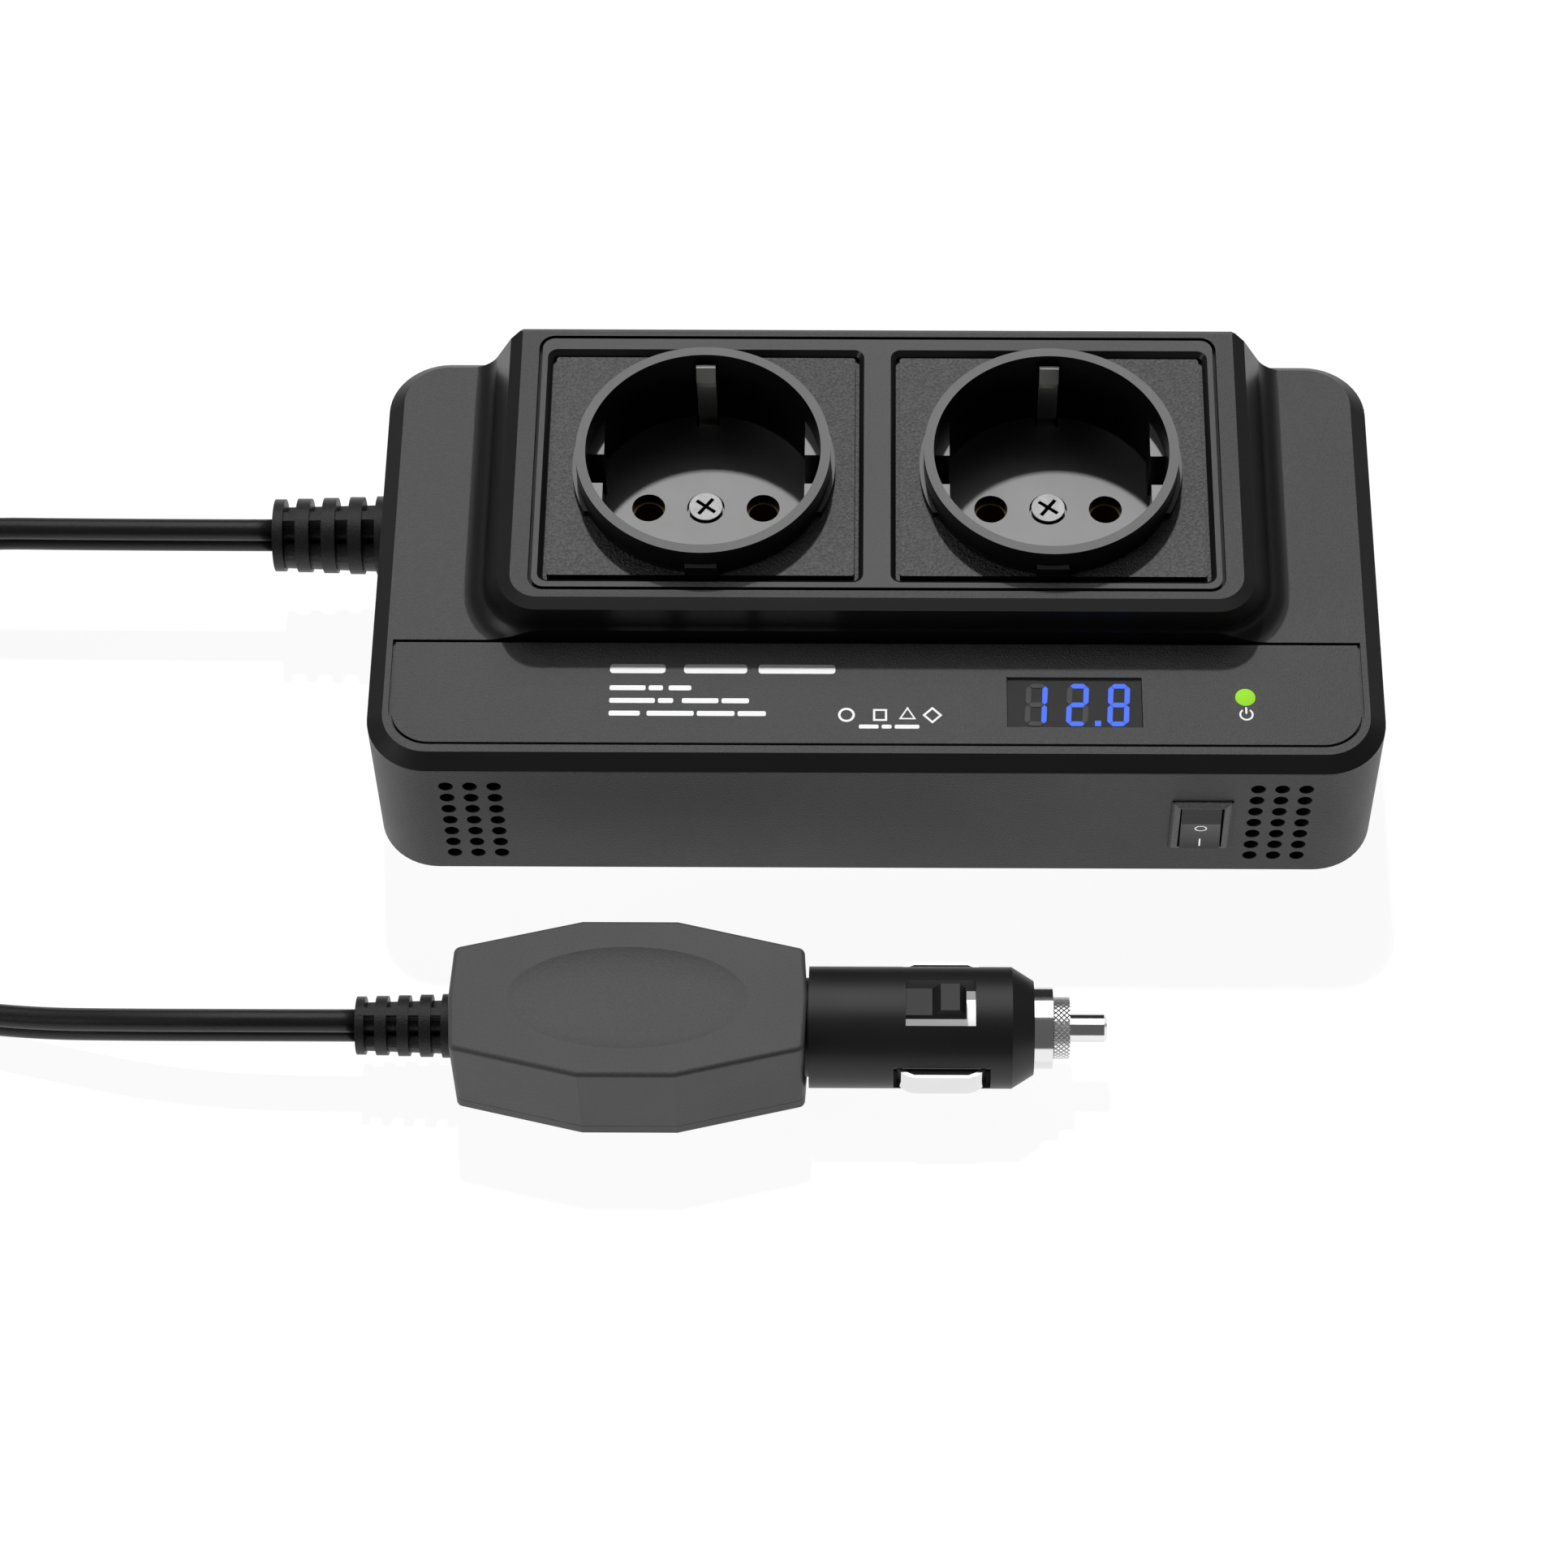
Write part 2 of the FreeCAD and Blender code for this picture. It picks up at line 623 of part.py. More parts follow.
def window_bevel(name, sign):
    """The sloping edge round a window, as the hollow that cuts it."""
    reach = amount(d.bezel_chamfer)
    top = amount(d.block_level)

    def loop(grow, height):
        bend = amount(d.window_corner) + grow
        x0 = min(sign * amount(d.window_inner), sign * amount(d.window_outer)) - grow
        x1 = max(sign * amount(d.window_inner), sign * amount(d.window_outer)) + grow
        return round_rectangle(x0, -amount(d.window_front) - grow, x1, amount(d.window_back) + grow,
                               bend, height)

    obj = doc.addObject("Part::Feature", name)
    obj.Shape = Part.makeLoft([loop(-0.1, top - reach - 0.1), loop(reach + 0.1, top + 0.1)], True, True)
    return obj


def make_socket(side, sign):
    """One socket moulding: textured plate, cup with its rim, guide ribs and floor."""
    x = d.socket_offset * sign
    y = d.socket_middle
    plate_top = d.block_level - d.plate_sink
    gap = d.plate_gap
    low = (d.window_inner + gap) * sign
    high = (d.window_outer - gap) * sign
    underside = plate_top - d.plate_thickness
    plate = slab(f"{side}_plate", rectangle(low, -d.window_front + gap, high, d.window_back - gap),
                 d.plate_thickness, 0.5, (0, 0, underside))
    flange = padded(f"{side}_flange", rectangle(2.4 * sign, -10.8, 54.3 * sign, 35.5),
                    0.85, (0, 0, underside))
    cup = rod(f"{side}_cup", d.rim_radius, d.rim_level - d.cup_floor_level + d.cup_floor,
              (x, y, d.cup_floor_level - d.cup_floor))
    lobe_disc = rod(f"{side}_lobe_disc", d.rim_radius + 0.7, d.rim_level - 4.4 - underside,
                    (x, y, underside))
    lobes = common(f"{side}_lobes", lobe_disc,
                   box(f"{side}_lobe_span", (50, 19, 20), (x, y), underside))
    front_key = span(f"{side}_front_key", (x - 2.6, y - d.rim_radius - 0.7, underside),
                     (x + 2.6, y - d.rim_radius + 1, plate_top + 2.4))
    outside = fuse(f"{side}_outside", plate, flange, cup, lobes, front_key)
    bore = rod(f"{side}_bore", d.cup_radius, 30, (x, y, d.cup_floor_level))
    rib_height = d.rim_level - d.rib_drop - d.cup_floor_level
    rib_disc = rod(f"{side}_rib_disc", d.cup_radius + 0.3, rib_height, (x, y, d.cup_floor_level - 0.05))
    rib_clear = box(f"{side}_rib_clear", (d.rib_flat * 2, 44, 30), (x, y), d.cup_floor_level - 1)
    rib_slot = box(f"{side}_rib_slot", (44, d.rib_slot, 30), (x, y), d.cup_floor_level - 1)
    ribs = cut(f"{side}_ribs", rib_disc, rib_clear, rib_slot)
    moulding = fuse(f"{side}_moulding", cut(f"{side}_hollowed", outside, bore), ribs)
    tools = []
    for end in (-1, 1):
        tools.append(rod(f"{side}_pin_{end}", d.pin_hole / 2, 6,
                         (x + d.pin_pitch / 2 * end, y, d.cup_floor_level - 4)))
        tools.append(box(f"{side}_clip_slot_{end}", (d.clip_width + 0.6, 2.6, 14.6),
                         (x, y + 18.3 * end), d.cup_floor_level - 3))
    tools.append(rod(f"{side}_screw_hole", 1.7, 6, (x, y, d.cup_floor_level - 4)))
    tools.append(rod(f"{side}_screw_sink", 3.12, 2, (x, y, d.cup_floor_level - 0.9)))
    keep(f"socket_{side}", cut(f"socket_{side}", moulding, *tools))


def turned_bar(reach, half, degrees):
    """The corners of a thin bar about the origin, turned by an angle."""
    angle = math.radians(degrees)
    ends = ((-reach, -half), (reach, -half), (reach, half), (-reach, half))
    return [
        (u * math.cos(angle) - v * math.sin(angle), u * math.sin(angle) + v * math.cos(angle))
        for u, v in ends
    ]


def make_socket_works(side, sign):
    """What is behind one socket: contact carrier, pin contacts and earth clip. Returns its screw."""
    x = d.socket_offset * sign
    y = d.socket_middle
    under_cup = d.cup_floor_level - d.cup_floor
    carrier_top = under_cup - 1.1
    disc = rod(f"{side}_carrier_disc", d.carrier_radius, d.carrier_height,
               (x, y, carrier_top - d.carrier_height))
    tools = [rod(f"{side}_carrier_bore", 1.6, 20, (x, y, carrier_top - 15))]
    sleeves = []
    for end in (-1, 1):
        at = (x + d.pin_pitch / 2 * end, y, carrier_top - d.carrier_height + 0.5)
        tools.append(rod(f"{side}_sleeve_seat_{end}", 3.4, 20, at))
        sleeves.append(tube(f"{side}_sleeve_{end}", 3.2, 2.45, d.carrier_height + 0.1, at))
    keep(f"socket_carrier_{side}", cut(f"socket_carrier_{side}", disc, *tools))
    keep(f"pin_contacts_{side}", group(f"pin_contacts_{side}", *sleeves))

    thick = d.clip_thickness
    foot = carrier_top + 0.2
    prong = ((17.9, 0), (17.9, 12.2), (16.9, 14.6), (17.9, 17.3))
    right = [(reach + thick, foot + up) for reach, up in prong]
    right += [(reach, foot + (up or thick)) for reach, up in reversed(prong)]
    left = [(-1 * reach, up) for reach, up in reversed(right)]
    points = [*right, *left]
    strap = padded(f"{side}_clip", points, d.clip_width, (x, y, 0), "YZ_Plane", middle=True)
    eye = rod(f"{side}_clip_eye", 3.2, thick, (x, y, foot))
    bore = rod(f"{side}_clip_bore", 1.6, 4, (x, y, carrier_top - 1))
    keep(f"earth_clip_{side}", cut(f"earth_clip_{side}", fuse(f"{side}_clip_body", strap, eye), bore))

    head_top = d.cup_floor_level + 0.5
    head = rod(f"{side}_head", 2.75, 1.3, (x, y, head_top - 1.3))
    shank = rod(f"{side}_shank", 1.45, 12, (x, y, head_top - 13.2))
    body = fuse(f"{side}_screw_body", head, shank)
    slots = [padded(f"{side}_slot_{turn}", turned_bar(1.95, 0.32, turn), 2, (x, y, head_top - 0.8))
             for turn in (53, 143)]
    return cut(f"socket_screw_{side}", body, *slots)


# ---- rocker switch ------------------------------------------------------------------------------



def switch_rim():
    """The frame round the rocker, thin at its outer edge and rising to its opening."""
    x = amount(d.switch_across)
    z = amount(d.switch_level)
    wall = -amount(half_width)
    edge = amount(d.rim_edge)
    rows = (
        (0, wall), (0, wall - edge), (1.3, wall - amount(d.switch_proud)),
    )
    loops = []
    for inset, y in rows:
        across = amount(d.switch_width) / 2 - inset
        rise = amount(d.switch_height) / 2 - inset * 0.9
        corners = [Vector(x + u * across, y, z + v * rise)
                   for u, v in ((-1, -1), (1, -1), (1, 1), (-1, 1))]
        loops.append(Part.makePolygon(corners + corners[:1]))
    obj = doc.addObject("Part::Feature", "switch_rim")
    obj.Shape = Part.makeLoft(loops, True, True)
    return obj


def make_switch():
    x = d.switch_across
    z = d.switch_level
    face = -half_width - d.switch_proud
    frame = switch_rim()
    barrel = span("switch_barrel", (x - 4.1, -half_width - 0.2, z - 6.1),
                  (x + 4.1, -half_width + 11, z + 6.1))
    hollow = span("switch_hollow",
                  (x - d.rocker_width / 2 - 0.3, face - 1, z - d.rocker_height / 2 - 0.35),
                  (x + d.rocker_width / 2 + 0.3, -half_width + 6.2, z + d.rocker_height / 2 + 0.35))
    keep("switch_body", cut("switch_body", fuse("switch_solid", frame, barrel), hollow))
    blades = [span(f"blade_{number}", (x - 2.2, -half_width + 11, z + up - 0.4),
                   (x + 2.2, -half_width + 17, z + up + 0.4))
              for number, up in enumerate((-3.6, 3.6))]
    keep("switch_terminals", group("switch_terminals", *blades))
    # the rocker: two flats meeting in a shallow valley, seen from the side, Y then Z
    reach = d.rocker_height / 2 - 0.1
    profile = (
        (face + 0.6, z), (face - 0.6, z - reach), (face + 2.2, z - reach),
        (face + 3.8, z), (face + 3.4, z + reach), (face + 0.9, z + reach),
    )
    rocker = padded("rocker_pad", profile, d.rocker_width - 0.1, (x, 0, 0), "YZ_Plane", middle=True)
    keep("rocker_button", rocker)


# ---- inside the case ------------------------------------------------------------------------------

def make_electronics():
    board_top = 7.6
    board = span("board_plate", (-49, -35, board_top - 1.6), (70, 24, board_top))
    holes = [rod(f"board_hole_{i}", 1.2, 4, (x, y, 5)) for i, (x, y) in enumerate(BOARD_POSTS)]
    keep("main_board", cut("main_board", board, *holes))

    middle = (6, -22)
    core = box("core_block", (30, 16, 19), middle, board_top)
    opening = box("core_opening", (21, 20, 12), middle, board_top + 3.5)
    leg = box("core_leg", (8, 16, 12.4), middle, board_top + 3.3)
    keep("transformer_core", fuse("transformer_core", cut("core_ring", core, opening), leg))
    winding = box("winding_block", (20.4, 21, 11.6), middle, board_top + 3.7)
    inside = box("winding_hollow", (8.4, 16.6, 20), middle, board_top)
    keep("transformer_winding", cut("transformer_winding", winding, inside))

    cans = [rod(f"can_{i}", 5, 19, (x, -22, board_top)) for i, x in enumerate((-34.0, -22.0))]
    keep("input_capacitors", group("input_capacitors", *cans))
    keep("bus_capacitor", rod("bus_capacitor", 6.5, 17, (33, -20, board_top)))

    sink = span("sink_base", (52, -4, board_top + 0.2), (55.5, 18, 27))
    fins = [span(f"fin_{i}", (55.4, -4 + 4.1 * i, board_top + 0.2), (65, -2.4 + 4.1 * i, 27))
            for i in range(6)]
    keep("heatsink", fuse("heatsink", sink, *fins))
    packs = [span(f"pack_{i}", (47.4, -2.5 + 10.4 * i, 9.2), (52, 7.3 + 10.4 * i, 18))
             for i in range(2)]
    keep("power_transistors", group("power_transistors", *packs))

    keep("usb_board", span("usb_board", (-34, 24.4, 8.2), (34, 38.4, 9.8)))
    tongues = []
    for index, across in enumerate(usb_points()):
        shell = span(f"usb_shell_{index}", (across - 6.5, 27, USB_LEVEL - 2.8),
                     (across + 6.5, half_width - 0.3, USB_LEVEL + 2.8))
        room = span(f"usb_room_{index}", (across - 6.1, 29, USB_LEVEL - 2.4),
                    (across + 6.1, half_width + 1, USB_LEVEL + 2.4))
        keep(f"usb_port_{index + 1}", cut(f"usb_can_{index}", shell, room))
        tongues.append(span(f"usb_tongue_{index}", (across - 5.6, 29, USB_LEVEL + 0.2),
                            (across + 5.6, half_width - 1.2, USB_LEVEL + 1.9)))
    keep("usb_tongues", group("usb_tongues", *tongues))


FAN_MIDDLE = (-64.5, 15.6)
FAN_FRONT = -29.0


def make_fan():
    x, z = FAN_MIDDLE
    frame = span("fan_block", (x - 11.5, FAN_FRONT, z - 11.5), (x + 11.5, FAN_FRONT + 8, z + 11.5))
    bore = rod("fan_bore", 10.6, 20, (x, FAN_FRONT - 4, z), "y")
    ring = cut("fan_ring", frame, bore)
    hub = rod("fan_hub", 4, 1.2, (x, FAN_FRONT + 6.8, z), "y")
    struts = [box(f"fan_strut_{number}", size, (x, FAN_FRONT + 7.4), z - size[2] / 2)
              for number, size in enumerate(((22, 1.2, 1.4), (1.4, 1.2, 22)))]
    pin = rod("fan_pin", 0.8, 4.6, (x, FAN_FRONT + 2.4, z), "y")
    keep("fan_frame", fuse("fan_frame", ring, hub, *struts, pin))
    cup = rod("rotor_cup", 4.4, 5.4, (x, FAN_FRONT + 0.8, z), "y")
    blades = [cup]
    for index in range(7):
        blade = doc.addObject("Part::Box", f"rotor_blade_{index}")
        blade.Length = 6
        blade.Width = 4.6
        blade.Height = 0.7
        pitch = Rotation(Vector(1, 0, 0), 32)
        round_axis = Rotation(Vector(0, 1, 0), 360.0 / 7 * index)
        centred = Placement(Vector(3.9, -2.3, -0.35), Rotation())
        hub_turn = Placement(Vector(x, FAN_FRONT + 3.5, z), round_axis.multiply(pitch))
        blade.Placement = hub_turn.multiply(centred)
        blades.append(blade)
    shaft_bore = rod("rotor_bore", 0.9, 6, (x, FAN_FRONT + 2.1, z), "y")
    keep("fan_rotor", cut("fan_rotor", fuse("rotor_solid", *blades), shaft_bore))


def make_fasteners():
    screws = []
    for index, (x, y) in enumerate(screw_points()):
        head = rod(f"case_head_{index}", 2.7, 1, (x, y, d.foot_height + 0.1))
        shank = rod(f"case_shank_{index}", 1.15, 11, (x, y, d.foot_height + 1.1))
        recess = box(f"case_cross_{index}", (3, 0.6, 0.9), (x, y), 1.4)
        screws.append(cut(f"case_screw_{index}", fuse(f"case_solid_{index}", head, shank), recess))
    keep("case_screws", group("case_screws", *screws))
    places = zip(("front_left", "back_left", "front_right", "back_right"), foot_points())
    for place, (x, y) in places:
        keep(f"foot_{place}", rod(f"foot_{place}", 5, 2.1, (x, y, 0), stop=4.8))


# ---- lead: boots, cord and coil ---------------------------------------------------------------------

def boot(name, radii, length, rings, waist, at):
    """A ribbed strain relief from its tip along X to its root, with the lead seen through it.

    Each ring is its distance from the tip and its width. Between the rings a thinner sleeve is
    open on both sides, above the middle, down to the twin lead.
    """
    x, y, z = at
    tip, root = radii
    sleeve = rod(f"{name}_sleeve", tip - waist, length, at, "x", stop=root - waist)
    windows = []
    discs = []
    ends = [start for start, width in rings[1:]] + [length]
    for index, (start, width) in enumerate(rings):
        near = tip + (root - tip) * (start / amount(length))
        discs.append(rod(f"{name}_ring_{index}", near, width, (x + start, y, z), "x"))
        if amount(ends[index]) - start - width < 0.1:
            continue
        for side in (-1, 1):
            middle = (x + (start + width + ends[index]) / 2, y + 4.9 * side)
            size = (ends[index] - start - width, 8, 8)
            windows.append(box(f"{name}_window_{index}_{side}", size, middle, z + 0.4))
    lobes = [rod(f"{name}_lobe_{side}", d.lobe / 2, length, (x, y, z + d.lobe_pitch / 2 * side), "x")
             for side in (-1, 1)]
    return [cut(f"{name}_opened", sleeve, *windows), *discs, *lobes]


CASE_BOOT_RINGS = ((0, 1.72), (3.86, 2.27), (8.24, 2.27), (12.7, 2.27), (17.2, 2.3))
PLUG_BOOT_RINGS = ((0, 1.4), (3.15, 1.85), (6.7, 1.8), (10.2, 1.85), (13.7, 1.4))


def make_case_boot():
    at = (-half_length - d.boot_length, d.lead_middle, d.lead_level)
    radii = (d.boot_end / 2, d.boot_start / 2)
    pieces = boot("case_boot", radii, d.boot_length, CASE_BOOT_RINGS, 0.6, at)
    neck = (-half_length - 0.2, d.lead_middle, d.lead_level)
    flange = (-half_length + d.case_wall + 0.2, d.lead_middle, d.lead_level)
    pieces.append(rod("case_boot_neck", 4.5, 2.6, neck, "x"))
    pieces.append(rod("case_boot_flange", 6, 1.6, flange, "x"))
    keep("cord_boot", fuse("cord_boot", *pieces))


def make_plug_boot():
    root = -d.grip_across - d.grip_end
    at = (root - d.plug_boot_length, -d.plug_middle, d.plug_level)
    radii = (d.plug_boot_end / 2, d.plug_boot_start / 2)
    pieces = boot("plug_boot", radii, d.plug_boot_length, PLUG_BOOT_RINGS, 0.65, at)
    reach = amount(d.plug_boot_end) / 2
    pieces.append(span("plug_boot_spine", (root - d.plug_boot_length, -d.plug_middle - 0.7, d.plug_level + 3),
                       (root, -d.plug_middle + 0.7, d.plug_level + reach)))
    pieces.append(rod("plug_boot_neck", 4.5, 4, (root - 0.2, -d.plug_middle, d.plug_level), "x"))
    pieces.append(rod("plug_boot_flange", 5.5, 1.5, (root + 3.5, -d.plug_middle, d.plug_level), "x"))
    keep("plug_boot", fuse("plug_boot", *pieces))


def cord_profile(at, along):
    """The twin flex's section, two round conductors side by side, standing on edge."""
    up = Vector(0, 0, 1)
    side = along.cross(up).normalize()
    up = side.cross(along).normalize()
    radius = amount(d.lobe) / 2
    reach = amount(d.lobe_pitch) / 2
    top = at + up * reach
    bottom = at - up * reach
    return Part.Wire([
        Part.Arc(top + side * radius, top + up * radius, top - side * radius).toShape(),
        Part.LineSegment(top - side * radius, bottom - side * radius).toShape(),
        Part.Arc(bottom - side * radius, bottom - up * radius, bottom + side * radius).toShape(),
        Part.LineSegment(bottom + side * radius, top + side * radius).toShape(),
    ])


def arc_path(points):
    """Straight runs joined by tangent arcs, each as large as its two runs allow."""
    edges = []
    radii = []
    start = points[0]
    for before, corner, after in zip(points, points[1:], points[2:]):
        arriving = (corner - before).normalize()
        leaving = (after - corner).normalize()
        turn = arriving.getAngle(leaving)
        shorter = min((corner - before).Length, (after - corner).Length)
        trim = 0.45 * shorter
        radii.append(trim / math.tan(turn / 2))
        near = corner - arriving * trim
        far = corner + leaving * trim
        inward = (leaving - arriving).normalize()
        sag = radii[-1] * (1 / math.cos(turn / 2) - 1)
        edges.append(Part.LineSegment(start, near).toShape())
        edges.append(Part.Arc(near, corner + inward * sag, far).toShape())
        start = far
    edges.append(Part.LineSegment(start, points[-1]).toShape())
    return Part.Wire(edges), radii


def cord_tube(name, points):
    path, radii = arc_path([Vector(*point) for point in points])
    along = (Vector(*points[1]) - Vector(*points[0])).normalize()
    shell = Part.BRepOffsetAPI.MakePipeShell(path)
    shell.setBiNormalMode(Vector(0, 0, 1))
    shell.add(cord_profile(Vector(*points[0]), along))
    shell.build()
    shell.makeSolid()
    solid = shell.shape()
    section = Part.Face(cord_profile(Vector(*points[0]), along)).Area
    print(name, "radii", [round(radius, 1) for radius in radii])
    print(name, "length", round(path.Length, 1), "volume", round(solid.Volume, 1),
          "section x length", round(section * path.Length, 1))
    obj = doc.addObject("Part::Feature", name)
    obj.Shape = solid
    return keep(name, obj)


# The lead leaves the case to the left, comes down onto a neat coil and returns to the plug.
CASE_RUN = (
    (-101.5, 15.4, 16.5), (-130, 15.4, 16.5), (-158, 15.7, 16.5), (-176, 13, 10.7), (-192, 13, 10.7),
)
PLUG_RUN = (
    (-192, -67, 3.9), (-173, -67, 3.9), (-154, -69.9, 3.7), (-136, -72.8, 5), (-118, -74.7, 8.1),
    (-101, -75.6, 9.75), (-82.6, -75.6, 9.75),
)
COIL_MIDDLE = (-192, -27)
COIL_RADIUS = 40
CORD_HEIGHT = 6.7
TIE_THICKNESS = 0.4
COIL_LIFT = 0.5


def make_cord():
    cord_tube("cord_to_case", CASE_RUN)
    cord_tube("cord_to_plug", PLUG_RUN)
    x, y = COIL_MIDDLE
    wide = amount(d.lobe) + 0.25
    outer = COIL_RADIUS + amount(d.lobe) / 2 + 0.1
    low = tube("coil_low", outer, outer - wide, CORD_HEIGHT + 0.1, (x, y, COIL_LIFT))
    stacked = tube("coil_stacked", outer, outer - wide, 2 * CORD_HEIGHT + 0.3, (x, y, COIL_LIFT))
    left = common("coil_left", stacked, span("coil_side", (x - 60, y - 60, -1), (x, y + 60, 30)))
    # the run to the plug leaves the ring along its tangent, so the ring stops short beside it
    leaving = span("coil_leaving", (x, y - 60, -1), (x + 18, y, 30))
    keep("cord_coil", cut("cord_coil", fuse("coil_ring", low, left), leaving))
    side = x - outer + wide / 2
    inside = box("tie_hole", (wide + 0.8, 20, 2 * CORD_HEIGHT + 0.6), (side, y), TIE_THICKNESS)
    band = box("tie_band", (wide + 0.8 + 2 * TIE_THICKNESS, 9, 2 * CORD_HEIGHT + 0.6 + 2 * TIE_THICKNESS),
               (side, y), 0)
    keep("cord_tie", cut("cord_tie", band, inside))


# ---- lighter plug -------------------------------------------------------------------------------------

def grip_outline(inset=0):
    """Plan of the plug's grip: eight sides, with flats in the middle of the long ones."""
    wide = d.grip_half_width - inset
    narrow = d.grip_end_width - inset
    shoulder = d.grip_shoulder - inset
    end = d.grip_end - inset
    right = ((d.grip_flat, -wide), (shoulder, -narrow), (end, 0), (shoulder, narrow),
             (d.grip_flat, wide))
    left = ((-d.grip_flat, wide), (-shoulder, narrow), (-end, 0), (-shoulder, -narrow),
            (-d.grip_flat, -wide))
    return (*right, *left)


def make_plug():
    x = -d.grip_across
    y = -d.plug_middle
    z = d.plug_level
    bottom = z - d.grip_height / 2
    top = z + d.grip_height / 2
    grip = padded("grip_outer", grip_outline(), d.grip_height - d.grip_bottom, (x, y, bottom + d.grip_bottom))
    height = amount(d.grip_height - d.grip_bottom)
    far = amount(d.grip_shoulder) - 0.1
    rounded(grip, 1.2, lambda edge: upright(edge) and far < abs(edge.CenterOfMass.x) < far + 0.2)
    rounded(grip, 0.8, lambda edge: level(edge, height))
    hollow = padded("grip_hollow", grip_outline(2), d.grip_height, (x, y, top - d.grip_wall - d.grip_height))
    dish = doc.addObject("Part::Ellipsoid", "grip_dish")
    dish.Radius1 = 2.2
    dish.Radius2 = 22
    dish.Radius3 = 10.6
    put(dish, (x - 0.1, y, top + 1.1))
    mouth = fuse("grip_mouth",
                 rod("grip_mouth_bore", d.barrel_neck + 0.1, 8, (x + d.grip_end - 6, y, z), "x"),
                 rod("grip_mouth_pocket", d.neck_flange + 0.1, 1.5, (x + d.grip_end - 4.35, y, z), "x"))
    throat = rod("grip_throat", 4.6, 8, (x - d.grip_end - 2, y, z), "x")
    keep("plug_housing", cut("plug_housing", grip, hollow, dish, mouth, throat))
    base = padded("grip_base", grip_outline(), d.grip_bottom - 0.1, (x, y, bottom))
    rounded(base, 1.2, lambda edge: upright(edge) and far < abs(edge.CenterOfMass.x) < far + 0.2)
    tools = []
    for number, across in enumerate((-17.0, 13.0)):
        tools.append(rod(f"grip_screw_hole_{number}", 1.3, 8, (x + across, y, bottom - 1)))
        tools.append(rod(f"grip_screw_sink_{number}", 2.6, 2, (x + across, y, bottom - 1)))
    keep("plug_base", cut("plug_base", base, *tools, mouth))
    screws = []
    for number, across in enumerate((-17.0, 13.0)):
        head = rod(f"grip_head_{number}", 2.4, 0.9, (x + across, y, bottom + 0.1))
        shank = rod(f"grip_shank_{number}", 1.1, 8, (x + across, y, bottom + 0.9))
        screws.append(fuse(f"grip_screw_{number}", head, shank))
    keep("plug_screws", group("plug_screws", *screws))
    make_plug_boot()
    make_barrel(x, y, z)


